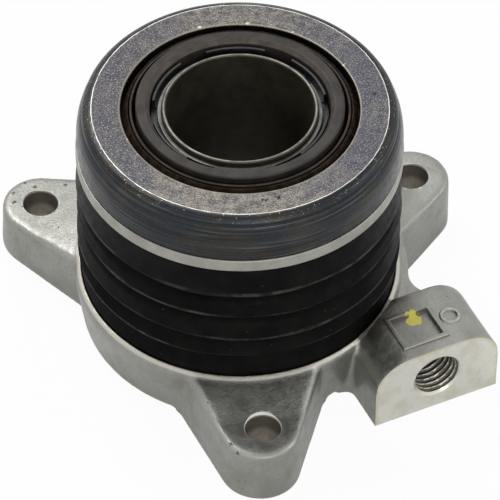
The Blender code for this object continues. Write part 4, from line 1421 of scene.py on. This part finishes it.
    def roughen(self, obj: Piece) -> None:
        """Let the cast skin wander a few hundredths of a millimetre.

        Args:
            obj: The blank.
        """
        mesh = obj.data
        count = len(mesh.vertices)
        flat, normals = np.zeros(count * 3), np.zeros(count * 3)
        mesh.vertices.foreach_get("co", flat)
        mesh.vertex_normals.foreach_get("vector", normals)
        spots = flat.reshape(-1, 3) / MM
        shift = Vector((9.0, 5.0, 2.0))
        (broad, high), (fine, low) = self.broad_wave, self.fine_wave
        lift = [noise.noise(Vector(spot) / broad) * high
                + noise.noise(Vector(spot) / fine + shift) * low for spot in spots]
        moved = spots + normals.reshape(-1, 3) * np.array(lift)[:, None]
        mesh.vertices.foreach_set("co", (moved * MM).ravel())
        mesh.update()

    def relief(self, skin: Material) -> list[tuple[Piece, Cut]]:
        """Low frame and round pin mark on top of the boss.

        Args:
            skin: Finish of the cast surfaces.

        Returns:
            Each tool with what it does.
        """
        left, right, front, back = self.frame_box
        top, width = self.port_height, self.frame_width
        pocket = slab("pocket", self.box(*self.frame_box), top - self.pocket_depth, top + 2)
        spots = ((left, right, front, front + width), (left, right, back - width, back),
                 (left, left + width, front, back), (right - width, right, front, back))
        bars = [slab(f"bar_{index}", self.box(*spot), top - self.frame_sunk,
                     top + self.frame_rise, self.frame_round)
                for index, spot in enumerate(spots)]
        ring = np.array([(radius, top + rise) for radius, rise in self.pin_ring])
        mark = turned("pin_mark", ring, 64)
        mark.location = (self.pin_place[0] * MM, self.pin_place[1] * MM, self.pin_lift * MM)
        made = [(pocket, Cut.TAKE)] + [(bar, Cut.ADD) for bar in bars] + [(mark, Cut.ADD)]
        for tool, _ in made:
            dress(tool, skin)
        return made

    @staticmethod
    def box(left: float, right: float, front: float, back: float) -> list[tuple[float, float]]:
        """Corners of a rectangle in plan."""
        return [(left, front), (right, front), (right, back), (left, back)]

    def machining(self, skin: Material, cut: Material,
                  drilled: Material) -> list[tuple[Piece, Cut]]:
        """Tools that take off the allowance and make recess, bores, holes and thread.

        Args:
            skin: Finish of the recess, which stays as cast.
            cut: Finish of the milled surfaces and the thread.
            drilled: Finish of the holes and bores.

        Returns:
            Each tool with what it does.
        """
        wide = self.ear_pitch * 2
        recess = turned("recess_tool", softened([
            (self.tube_radius, self.above, 0), (self.tube_radius, self.recess_floor, 0.5),
            (self.recess_radius, self.recess_floor, 0.4),
            (self.recess_radius, self.rim_top + 0.2, 0.0),
            (self.body_radius + 0.3, self.rim_top + 0.2, 0.3),
            (self.body_radius + 0.3, self.above, 0)]))
        seat, seat_top = self.flange_seat
        groove, groove_low, groove_high = self.seal_groove
        hole = self.sleeve_hole
        bore = turned("bore_tool", softened([
            (0.0, -3.0, 0), (seat, -3.0, 0), (seat, seat_top, 0.2), (hole, seat_top, 0.2),
            (hole, groove_low, 0), (groove, groove_low, 0), (groove, groove_high, 0),
            (hole, groove_high, 0), (hole, self.chamber_floor, 0),
            (self.bore_radius, self.chamber_floor, 0.5),
            (self.bore_radius, self.tube_top - 1.0, 0),
            (self.bore_radius + 1.0, self.tube_top, 0), (self.tube_radius + 2, self.tube_top, 0),
            (self.tube_radius + 2, self.above + 1, 0), (0.0, self.above + 1, 0)]), 128)
        milled = [slab("base_saw", self.box(-wide, wide, -wide, wide), -10.0, 0.0),
                  slab("port_mill", self.box(5.0, wide, -wide, self.port_face), -11.0,
                       self.above),
                  self.port_tap()]
        holes = [bore, self.oil_drill()]
        holes += [self.ear_drill(index, angle) for index, angle in enumerate(self.ear_angles)]
        made = [dress(recess, skin)] + [dress(tool, cut) for tool in milled]
        made += [dress(tool, drilled) for tool in holes]
        return [(tool, Cut.TAKE) for tool in made]

    def ear_drill(self, index: int, angle: float) -> Piece:
        """Through hole of one ear with both mouths chamfered.

        Args:
            index: Number of the ear.
            angle: Direction of the ear in degrees.

        Returns:
            The drill.
        """
        wide = self.ear_hole + self.ear_chamfer + 1.0
        top = self.ear_height + 1.0
        line = [(0.0, top), (wide, top), (self.ear_hole, self.ear_height - self.ear_chamfer),
                (self.ear_hole, self.ear_chamfer), (wide, -1.0), (0.0, -1.0)]
        tool = turned(f"ear_drill_{index}", np.array(line), 96)
        turn = math.radians(angle)
        tool.location = (self.ear_pitch * math.cos(turn) * MM,
                         self.ear_pitch * math.sin(turn) * MM, 0.0)
        return tool

    def port_tap(self) -> Piece:
        """Threaded hole with a conical mouth and a drill point, as one tool.

        Returns:
            The tap.
        """
        columns, row_pitch = self.thread_columns, self.thread_pitch / self.thread_rows
        depths = np.arange(0.0, self.thread_reach + row_pitch / 2, row_pitch)
        turn = np.linspace(0, 2 * math.pi, columns, endpoint=False)
        turns, deep = np.meshgrid(turn, depths, indexing="ij")
        phase = (deep / self.thread_pitch + turns / (2 * math.pi)) % 1.0
        ridge = np.clip(self.thread_flat - np.abs(phase - 0.5) * self.thread_slope, 0.0, 1.0)
        radius = self.thread_crest + self.thread_depth * ridge
        radius = np.maximum(radius, self.thread_crest + self.mouth_chamfer - deep)
        rows = [(np.zeros(columns), np.full(columns, -1.0)),
                (radius[:, 0] + 1.0, np.full(columns, -1.0))]
        rows += [(radius[:, index], deep[:, index]) for index in range(len(depths))]
        rows.append((np.zeros(columns), np.full(columns, self.thread_reach + self.drill_point)))
        across = np.stack([row[0] for row in rows], 1)
        along = np.stack([row[1] for row in rows], 1)
        around = np.repeat(turn[:, None], len(rows), 1)
        points = np.stack((self.port_x + across * np.cos(around), self.port_face + along,
                           self.port_z + across * np.sin(around)), -1).reshape(-1, 3)
        count, faces = len(rows), []
        for column in range(columns):
            here, there = column * count, (column + 1) % columns * count
            faces += [(here + row, there + row, there + row + 1, here + row + 1)
                      for row in range(count - 1)]
        return solid("port_tap", points, faces, merge=True)

    def oil_drill(self) -> Piece:
        """Slanting drilling from the bottom of the port into the pressure chamber.

        Returns:
            The drill.
        """
        start = Vector((self.port_x, self.port_face + self.thread_reach, self.port_z))
        turn = math.radians(self.oil_turn)
        end = Vector(((self.bore_radius - 1) * math.cos(turn),
                      (self.bore_radius - 1) * math.sin(turn), self.port_z))
        run = end - start
        line = [(0.0, run.length), (self.oil_radius, run.length), (self.oil_radius, 0.0),
                (0.0, 0.0)]
        tool = turned("oil_drill", np.array(line), 32)
        tool.data.transform(Matrix.Translation((-AXIS_X * MM, -AXIS_Y * MM, 0.0)))
        tilt = run.to_track_quat("Z", "Y").to_matrix().to_4x4()
        origin = Vector(((start.x + AXIS_X) * MM, (start.y + AXIS_Y) * MM, start.z * MM))
        tool.data.transform(Matrix.Translation(origin) @ tilt)
        return tool


@dataclass
class SleeveGroup:
    """Guide sleeve with its stop ring and static seal."""

    bore: float = 17.4
    outer: float = 18.4
    top: float = 67.9
    flange: float = 22.5
    stop_z: float = 65.6

    def build(self, steel: Material, ring: Material, rubber: Material) -> None:
        """Make and mount the sleeve, the stop ring and the O-ring.

        Args:
            steel: Finish of the sleeve.
            ring: Finish of the stop ring.
            rubber: Finish of the seal.
        """
        line = softened([
            (self.bore, self.top, 0.42), (self.outer, self.top, 0.5),
            (self.outer, self.stop_z + 1.3, 0.1), (self.outer - 0.4, self.stop_z + 1.3, 0),
            (self.outer - 0.4, self.stop_z - 0.3, 0), (self.outer, self.stop_z - 0.3, 0.1),
            (self.outer, 1.8, 0.3), (self.flange, 1.8, 0.2), (self.flange, 0.3, 0.2),
            (self.bore, 0.3, 0.6)])
        mount(dress(turned("guide_sleeve_tube", line), steel), Body.HOUSING, Slot.SLEEVE,
              "guide_sleeve")
        inner, outer = self.outer - 0.1, self.outer + 1.0
        line = softened(edged([(inner, self.stop_z + 1), (outer, self.stop_z + 1),
                               (outer, self.stop_z), (inner, self.stop_z)], 0.25))
        obj = turned("stop_ring_wire", line, 160)
        gap = slab("gap", [(0.0, 0.0), *arc((0, 0), 40.0, 3.8, 11.8, 4)], 60.0, 70.0)
        carve(dress(obj, ring), [(dress(gap, ring), Cut.TAKE)])
        mount(obj, Body.HOUSING, Slot.STOP_RING, "sleeve_stop_ring")
        line = np.array(arc((self.outer + 1.0, 4.2), 0.7, 0, 345, 23))
        mount(dress(turned("sleeve_seal_ring", line, 128), rubber), Body.HOUSING, Slot.SEAL,
              "sleeve_o_ring")


@dataclass
class PistonGroup:
    """Hollow piston with its finger tips, lip seal and retaining collar."""

    bore: float = 18.75
    skirt: float = 24.2
    flange: float = 27.5
    nose: float = 20.8
    base: float = 24.8
    step: float = 27.8
    flange_top: float = 52.3
    nose_top: float = 65.3
    finger_top: float = 67.7
    finger_wall: float = 0.7
    fingers: int = 6
    finger_arc: float = 40.0
    finger_first: float = 7.8
    collar_bore: float = 21.2
    collar: float = 24.5
    collar_top: float = 69.1

    def build(self, plastic: Material, rubber: Material, steel: Material) -> None:
        """Make and mount the piston, its seal and the collar.

        Args:
            plastic: Finish of the piston.
            rubber: Finish of the seal.
            steel: Finish of the collar.
        """
        mount(dress(self.barrel(plastic), plastic), Body.PISTON, Slot.PISTON, "piston")
        mount(dress(self.seal(), rubber), Body.PISTON, Slot.SEAL, "piston_seal")
        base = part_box("retaining_collar")[0].z / MM
        line = softened([
            (self.collar_bore + 0.9, self.collar_top, 0.35), (self.collar, self.collar_top, 0.5),
            (self.collar, base, 0.2), (self.collar_bore, base, 0.2),
            (self.collar_bore, self.collar_top - 1.0, 0.35)])
        mount(dress(turned("retaining_collar_ring", line), steel), Body.PISTON, Slot.COLLAR,
              "retaining_collar")

    def barrel(self, plastic: Material) -> Piece:
        """Piston barrel whose nose ends in finger tips with gaps between them.

        Args:
            plastic: Finish of the piston.

        Returns:
            The barrel.
        """
        middle = (self.bore + self.skirt) / 2
        inside = self.nose - self.finger_wall
        line = softened([
            (inside, self.finger_top, 0.2), (self.nose, self.finger_top, 0.2),
            (self.nose, self.flange_top, 0.2), (self.flange, self.flange_top, 0.3),
            (self.flange, self.flange_top - 2.8, 0.3), (self.skirt, self.flange_top - 2.8, 0.3),
            (self.skirt, self.step, 0.2), (middle + 0.7, self.step, 0),
            (middle + 0.7, self.base, 0.3), (middle - 0.7, self.base, 0.3),
            (middle - 0.7, self.step, 0), (self.bore, self.step, 0.2),
            (self.bore, self.nose_top, 0.15), (inside, self.nose_top, 0)])
        obj = dress(turned("piston_barrel", line, 180), plastic)
        pitch = 360.0 / self.fingers
        tools = []
        for index in range(self.fingers):
            centre = self.finger_first + (index + 0.5) * pitch
            half = (pitch - self.finger_arc) / 2
            outline = [(0.0, 0.0), *arc((0, 0), 40.0, centre - half, centre + half, 4)]
            tool = slab(f"finger_gap_{index}", outline, self.nose_top - 0.3, 72.0)
            tools.append((dress(tool, plastic), Cut.TAKE))
        carve(obj, tools)
        return obj

    def seal(self) -> Piece:
        """Lip seal on the piston's tongue, its two lips towards the oil.

        Returns:
            The seal.
        """
        middle = (self.bore + self.skirt) / 2
        line = softened(edged([
            (middle + 1.0, 27.5), (self.skirt - 0.3, 27.5), (self.skirt, 22.2),
            (self.skirt - 0.9, 22.2), (middle + 0.6, 23.6), (middle - 0.6, 23.6),
            (self.bore + 0.9, 22.2), (self.bore, 22.2), (self.bore + 0.3, 27.5),
            (middle - 1.0, 27.5), (middle - 1.0, 24.5), (middle + 1.0, 24.5)], 0.15))
        return turned("piston_lip_seal", line, 128)


@dataclass
class BearingGroup:
    """Carrier plate with its bright band, standing ring, balls, cage, seals and turning ring."""

    carrier: float = 38.6
    carrier_base: float = 52.6
    carrier_bore: float = 21.7
    carrier_wall: float = 2.0
    band_wall: float = 2.2
    band_top: float = 56.0
    lip_inner: float = 35.5
    lip_outer: float = 36.2
    lip_drop: float = 3.0
    ring_base: float = 54.9
    ring_step: float = 56.6
    ring_rim: float = 31.2
    neck_bore: float = 25.3
    neck: float = 25.9
    ball_pitch: float = 30.2
    ball_z: float = 60.2
    ball: float = 3.175
    balls: int = 18
    track: float = 3.5
    face_z: float = 67.8
    face_inner: float = 28.0
    face_outer: float = 34.8
    shoulder: float = 2.4
    outer: float = 38.4
    outer_base: float = 56.3
    skirt: float = 33.7

    def build_carrier(self, steel: Material) -> None:
        """Pressed plate whose turned rim is the bright band above the boot.

        Args:
            steel: Finish of the plate.
        """
        top = self.carrier_base + self.carrier_wall
        rim = self.carrier - self.band_wall
        lip_foot = self.carrier_base - self.lip_drop
        line = softened([
            (rim, self.band_top, 0.3), (self.carrier, self.band_top, 0.35),
            (self.carrier, self.carrier_base, 0.45), (self.lip_outer, self.carrier_base, 0),
            (self.lip_outer, lip_foot, 0.3), (self.lip_inner, lip_foot, 0.3),
            (self.lip_inner, self.carrier_base, 0.1), (self.carrier_bore, self.carrier_base, 0.2),
            (self.carrier_bore, top, 0.2), (rim, top, 0.3)])
        mount(dress(turned("carrier_band_plate", line, 224), steel), Body.BEARING, Slot.BAND,
              "bearing_carrier")

    def build_rings(self, neck_steel: Material, face_steel: Material) -> None:
        """Standing ring with the thin neck, and turning ring with the contact face.

        Args:
            neck_steel: Finish of the standing ring.
            face_steel: Finish of the turning ring.
        """
        track = arc((self.ball_pitch, self.ball_z), self.track, 195, 275, 10)
        points: list[Corner] = [
            (self.neck_bore, self.face_z, 0.15), (self.neck, self.face_z, 0.15),
            (self.neck, 64.6, 0), (26.4, 64.3, 0.1), (26.4, self.ball_z, 0)]
        points += [(r, z, 0.0) for r, z in track]
        points += [(self.ring_rim, track[-1][1] + 0.3, 0.1),
                   (self.ring_rim, self.ring_base, 0.2), (self.carrier_bore, self.ring_base, 0.2),
                   (self.carrier_bore, self.ring_step, 0.2), (self.neck_bore, self.ring_step, 0.3)]
        mount(dress(turned("standing_ring", softened(points)), neck_steel), Body.BEARING,
              Slot.INNER_RING, "bearing_inner_ring")
        track = arc((self.ball_pitch, self.ball_z), self.track, 0, 110, 14)
        turn = arc((self.face_outer, self.face_z - self.shoulder), self.shoulder, 84, 10, 12)
        points = [(self.face_inner, self.face_z, 0.3), (self.face_outer, self.face_z, 0.0)]
        points += [(r, z, 0.0) for r, z in turn]
        groove_r, groove_z = turn[-1][0] - 0.25, turn[-1][1] - 0.25
        points += [
            (groove_r, groove_z, 0.12), (groove_r + 0.42, groove_z - 0.45, 0.25),
            (37.75, 64.2, 1.5), (38.15, 62.6, 2.5), (self.outer, self.ball_z, 2.0),
            (self.outer, self.outer_base, 0.5), (self.skirt, self.outer_base, 0.2)]
        points += [(r, z, 0.0) for r, z in track]
        points += [(self.face_inner, track[-1][1] + 0.7, 0.2)]
        mount(dress(turned("turning_ring", softened(points), 256), face_steel), Body.OUTER_RING,
              Slot.FACE, "bearing_outer_ring")

    def build_seals(self, dusty: Material, rubber: Material) -> None:
        """Brown upper dust lip and the lower lip seal.

        Args:
            dusty: Finish of the upper lip.
            rubber: Finish of the lower seal.
        """
        line = softened([
            (26.2, 67.5, 0.15), (26.5, 67.5, 0.15), (27.6, 65.6, 0.25), (27.6, 65.0, 0.2),
            (26.2, 65.0, 0.1)])
        mount(dress(turned("upper_dust_lip", line, 160, self.lip_waves), dusty), Body.BEARING,
              Slot.DUST_SEAL, "upper_seal")
        low, high = (corner.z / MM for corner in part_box("lower_seal"))
        line = softened(edged([(31.5, high), (33.4, high), (33.4, high - 0.7),
                               (32.3, high - 0.7), (32.3, low), (31.5, low)], 0.12))
        mount(dress(turned("lower_dust_lip", line, 128), rubber), Body.BEARING,
              Slot.DUST_SEAL, "lower_seal")

    @staticmethod
    def lip_waves(turn: Grid, radius: Grid, height: Grid) -> tuple[Grid, Grid]:
        """Faint waves of a worn lip."""
        return radius, height + 0.05 * np.sin(7 * turn + 1.0) + 0.03 * np.sin(17 * turn)

    def build_balls(self, steel: Material, plastic: Material) -> None:
        """All balls as one piece, and the cage's own mesh in its plastic.

        Args:
            steel: Finish of the balls.
            plastic: Finish of the cage.
        """
        shape = bmesh.new()
        for index in range(self.balls):
            turn = (index + 0.25) * 2 * math.pi / self.balls
            place = Matrix.Translation((
                (self.ball_pitch * math.cos(turn) + AXIS_X) * MM,
                (self.ball_pitch * math.sin(turn) + AXIS_Y) * MM, self.ball_z * MM))
            bmesh.ops.create_uvsphere(shape, u_segments=32, v_segments=20,
                                      radius=self.ball * MM, matrix=place)
        obj = from_shape("ball_set", shape)
        obj.data.shade_smooth()
        names = [f"bearing_ball_{index + 1:02d}" for index in range(self.balls)]
        mount(dress(obj, steel), Body.CAGE, Slot.BALL, *names)
        repaint("bearing_cage", plastic)


@dataclass
class BootGroup:
    """Ribbed rubber boot and the coil spring that it covers."""

    outer: float = 38.7
    valley: float = 35.3
    foot_radius: float = 37.6
    top_radius: float = 38.2
    foot: float = 13.3
    top: float = 52.3
    wall: float = 1.2
    crests: tuple[float, ...] = (0.782, 0.600, 0.397, 0.264)
    lip_rise: float = 0.8
    undercut: float = 1.1
    sag_in: float = 0.95
    sag_drop: float = 2.2
    travel: float = 16.0
    wire: float = 1.4
    coil_radius: float = 31.5
    coils: float = 4.5
    end_rise: float = 3.2
    per_turn: int = 72
    sides: int = 16

    @property
    def keep(self) -> float:
        """Share of the height that is left at the end of the piston's travel."""
        height = self.top - self.foot
        return (height - self.travel) / height

    def build_boot(self, rubber: Material) -> None:
        """Make the bellows, one sagging fold after another.

        Args:
            rubber: Finish of the boot.
        """
        points: list[Corner] = [(self.top_radius, self.top, 0.3)]
        for share in self.crests:
            crest = self.foot + share * (self.top - self.foot)
            points.append((self.outer, crest + self.lip_rise, 0.35))
            points.append((self.outer - 0.35, crest, 0.25))
            points.append((self.valley, crest - self.undercut, 0.55))
            if share > self.crests[-1]:
                low = crest - self.undercut - self.sag_drop
                points.append((self.outer - self.sag_in, low, 2.0))
        points.append((self.foot_radius, self.foot + 4.0, 1.2))
        points.append((self.foot_radius, self.foot, 0.2))
        inner = [(radius - self.wall, height, rounding) for radius, height, rounding in points]
        line = softened(points + inner[::-1])
        obj = dress(turned("boot_bellows", line, 256, self.boot_waves), rubber)
        self.mount_soft(obj, Slot.BOOT, "dust_boot")

    def boot_waves(self, turn: Grid, radius: Grid, height: Grid) -> tuple[Grid, Grid]:
        """Uneven folds: the rubber wanders between its clamped top and foot.

        Args:
            turn: Turn of each point in radians.
            radius: Radius of each point.
            height: Height of each point.

        Returns:
            The changed radii and heights.
        """
        share = np.clip((height - self.foot - 4.5) / 3.0, 0, 1)
        share *= np.clip((self.top - height - 1.5) / 4.0, 0, 1)
        phase = height * 0.21
        lift = 0.22 * np.sin(2 * turn + phase) + 0.14 * np.sin(5 * turn - 1.7 * phase)
        swell = -0.10 + 0.08 * np.sin(3 * turn + 2 * phase) + 0.05 * np.sin(11 * turn + phase)
        return radius + share * swell, height + share * lift

    def build_spring(self, steel: Material) -> None:
        """Make the coil spring with a closed turn at each end.

        Args:
            steel: Finish of the spring.
        """
        base, top = self.foot + self.wire, self.top - self.wire
        turns, sides = self.coils + 2.0, self.sides
        count = int(turns * self.per_turn)
        coiled = top - base - 2 * self.end_rise
        path = []
        for index in range(count + 1):
            turn = turns * index / count
            if turn < 1.0:
                height = base + self.end_rise * turn
            elif turn > turns - 1.0:
                height = top - self.end_rise * (turns - turn)
            else:
                height = base + self.end_rise + coiled * (turn - 1.0) / self.coils
            path.append((turn * 2 * math.pi, height))
        points = []
        for turn, height in path:
            for side in range(sides):
                angle = 2 * math.pi * side / sides
                radius = self.coil_radius + self.wire * math.cos(angle)
                points.append((radius * math.cos(turn), radius * math.sin(turn),
                               height + self.wire * math.sin(angle)))
        obj = dress(solid("preload_coil", np.array(points), tube_faces(count + 1, sides)), steel)
        self.mount_soft(obj, Slot.SPRING, "preload_spring")

    def mount_soft(self, obj: Piece, slot: Slot, node: str) -> None:
        """Mount a piece on the housing with a mesh of its own."""
        mount(obj, Body.HOUSING, slot, node)
        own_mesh(obj)


def repaint(node: str, material: Material) -> None:
    """Give a CAD node that stays shown its finish.

    Args:
        node: Name of the node.
        material: Its finish.
    """
    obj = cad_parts[node]
    obj.data.materials.clear()
    obj.data.materials.append(material)
    log.info("%s: CAD mesh kept", node)


# Studio


@dataclass(frozen=True)
class Lamp:
    """Soft square lamp, its place in metres from the camera's side: right, away and up."""

    name: str
    place: tuple[float, float, float]
    size: float
    power: float


@dataclass
class Studio:
    """Pale floor, white surroundings, soft lamps and the photograph's camera."""

    elevation: float = 46.02
    turn: float = -26.2
    distance: float = 1255.2
    aim_x: float = 2.77
    aim_z: float = 20.0
    roll: float = 0.82
    lens: float = 376.84
    fill_level: float = 0.5
    floor_glow: float = 0.95
    floor_mirror: float = 0.35
    floor_shade: float = 0.93
    floor_size: float = 3.0
    floor_drop: float = 0.0002
    lamp_aim: float = 0.04
    lamps: tuple[Lamp, ...] = (
        Lamp("key", (-0.45, 0.65, 1.15), 0.7, 7.6),
        Lamp("front", (0.25, -1.1, 0.75), 0.6, 2.2),
        Lamp("side", (1.1, 0.1, 0.8), 0.5, 1.6))

    def build(self) -> None:
        """Set up the whole studio."""
        self.floor()
        self.world()
        for lamp in self.lamps:
            self.hang(lamp)
        self.camera()
        bpy.context.scene.view_settings.view_transform = "Standard"

    @staticmethod
    def seen_directly(nodes: bpy.types.Nodes, links: bpy.types.NodeLinks, direct: float = 1.0,
                      mirrored: float = 1.0) -> Socket:
        """Tell rays that look at the background from light that falls on things.

        Args:
            nodes: Nodes of the tree.
            links: Links of the tree.
            direct: Value for rays from the camera.
            mirrored: Value for rays from a mirror or through glass.

        Returns:
            The value, 0 for any other ray.
        """
        path = nodes.new("ShaderNodeLightPath")
        total = None
        for name, share in (("Is Camera Ray", direct), ("Is Glossy Ray", mirrored),
                            ("Is Transmission Ray", mirrored)):
            node = nodes.new("ShaderNodeMath")
            node.operation = "MULTIPLY_ADD"
            links.new(path.outputs[name], node.inputs[0])
            node.inputs[1].default_value = share
            node.inputs[2].default_value = 0.0
            if total is not None:
                links.new(total, node.inputs[2])
            total = node.outputs[0]
        return total

    def floor(self) -> None:
        """Large pale floor just under the mounting face, white but for its shadow."""
        shape = bmesh.new()
        bmesh.ops.create_grid(shape, x_segments=2, y_segments=2, size=self.floor_size)
        obj = from_shape("floor", shape)
        obj.location = (0.0, 0.0, -self.floor_drop)
        material = bpy.data.materials.new("pale_floor")
        material.use_nodes = True
        nodes, links = material.node_tree.nodes, material.node_tree.links
        nodes.remove(nodes["Principled BSDF"])
        matt = nodes.new("ShaderNodeBsdfDiffuse")
        matt.inputs["Color"].default_value = (*[self.floor_shade] * 3, 1.0)
        glow = nodes.new("ShaderNodeEmission")
        glow.inputs["Strength"].default_value = 1.0
        share = self.seen_directly(nodes, links, self.floor_glow, self.floor_mirror)
        mixer = nodes.new("ShaderNodeMixShader")
        links.new(share, mixer.inputs[0])
        links.new(matt.outputs[0], mixer.inputs[1])
        links.new(glow.outputs[0], mixer.inputs[2])
        links.new(mixer.outputs[0], nodes["Material Output"].inputs["Surface"])
        obj.data.materials.append(material)

    def world(self) -> None:
        """White to the eye and in metal, a soft grey as light."""
        world = bpy.data.worlds.new("studio")
        world.use_nodes = True
        nodes, links = world.node_tree.nodes, world.node_tree.links
        sky = nodes["Background"]
        level = nodes.new("ShaderNodeMapRange")
        level.inputs["To Min"].default_value = self.fill_level
        level.inputs["To Max"].default_value = 1.0
        links.new(self.seen_directly(nodes, links), level.inputs["Value"])
        links.new(level.outputs["Result"], sky.inputs["Strength"])
        sky.inputs["Color"].default_value = (1.0, 1.0, 1.0, 1.0)
        bpy.context.scene.world = world

    def hang(self, lamp: Lamp) -> None:
        """Hang one lamp so that it looks at the bearing.

        Args:
            lamp: The lamp's sizes.
        """
        light = bpy.data.lights.new(lamp.name, "AREA")
        light.size = lamp.size
        light.energy = lamp.power
        obj = shown(lamp.name, light)
        spin = Matrix.Rotation(math.radians(self.turn), 3, "Z")
        obj.location = spin @ Vector(lamp.place)
        aim = Vector((AXIS_X * MM, AXIS_Y * MM, self.lamp_aim)) - obj.location
        obj.rotation_euler = aim.to_track_quat("-Z", "Y").to_euler()

    def camera(self) -> None:
        """Camera at the photograph's angle, distance and roll."""
        tilt, roll = math.radians(self.elevation), math.radians(self.roll)
        look = Vector((0.0, math.cos(tilt), -math.sin(tilt)))
        flat_right = Vector((1.0, 0.0, 0.0))
        flat_up = Vector((0.0, math.sin(tilt), math.cos(tilt)))
        right = flat_right * math.cos(roll) + flat_up * math.sin(roll)
        upward = flat_up * math.cos(roll) - flat_right * math.sin(roll)
        place = Vector((self.aim_x, 0.0, self.aim_z)) - look * self.distance
        spin = Matrix.Rotation(math.radians(self.turn), 3, "Z")
        axes = Matrix((spin @ right, spin @ upward, -(spin @ look))).transposed()
        home = (spin @ place + Vector((AXIS_X, AXIS_Y, 0.0))) * MM
        data = bpy.data.cameras.new("photo_camera")
        data.sensor_width = 36.0
        data.lens = self.lens
        data.clip_start, data.clip_end = 0.01, 50.0
        obj = shown("photo_camera", data)
        obj.matrix_world = Matrix.Translation(home) @ axes.to_4x4()
        bpy.context.scene.camera = obj


def main() -> None:
    """Build every sub-assembly in the order in which the real one is put together."""
    logging.basicConfig(level=logging.INFO, format="%(message)s")
    seal_rubber = RubberFinish("seal_rubber").make()
    spring_steel = TurnedFinish("spring_steel", (120, 120, 122), (88, 88, 92)).make()
    black_plastic = MouldedFinish("piston_plastic", (24, 24, 25), (38, 37, 36)).make()

    Casting().build(CastFinish().make(), CutFinish().make(), DrilledFinish().make())
    # The sleeve steel's dark olive base colour is partly painted shade down the deep bore.
    SleeveGroup().build(
        TurnedFinish("sleeve_steel", (66, 65, 56), (84, 81, 68), (0.3, 0.45), 0.6,
                     belt=(17.75, 18.0), belt_colour=(158, 155, 146)).make(),
        TurnedFinish("stop_ring_steel", (120, 118, 112), (80, 78, 74)).make(), seal_rubber)
    PistonGroup().build(
        black_plastic, seal_rubber,
        TurnedFinish("collar_steel", (60, 56, 53), (46, 43, 41), (0.44, 0.62), 0.5,
                     belt=(21.2, 22.1), belt_colour=(84, 76, 68), rust=(74, 62, 50),
                     rust_level=0.62).make())
    repaint("wave_spring", spring_steel)
    bearing = BearingGroup()
    bearing.build_carrier(
        TurnedFinish("carrier_steel", (172, 171, 163), (154, 153, 145), (0.34, 0.48), 0.75,
                     rust=(140, 128, 108), rust_level=0.7).make())
    bearing.build_rings(
        TurnedFinish("neck_steel", (62, 50, 42), (40, 34, 30), (0.45, 0.65), 0.6,
                     rust=(84, 62, 44), rust_level=0.58).make(),
        FaceFinish().make())
    bearing.build_balls(
        TurnedFinish("ball_steel", (205, 205, 208), (190, 190, 194), (0.08, 0.14), 1.0,
                     depth=0.002).make(),
        MouldedFinish("cage_plastic", (150, 140, 112), (128, 118, 92)).make())
    bearing.build_seals(
        RubberFinish("dusty_seal", (30, 25, 21), (56, 46, 38), dust=(64, 52, 41),
                     rough=(0.5, 0.75)).make(), seal_rubber)
    soft = BootGroup()
    soft.build_boot(RubberFinish("boot_rubber", lip_radius=38.55).make())
    soft.build_spring(spring_steel)
    Studio().build()


if __name__ == "__main__":
    main()
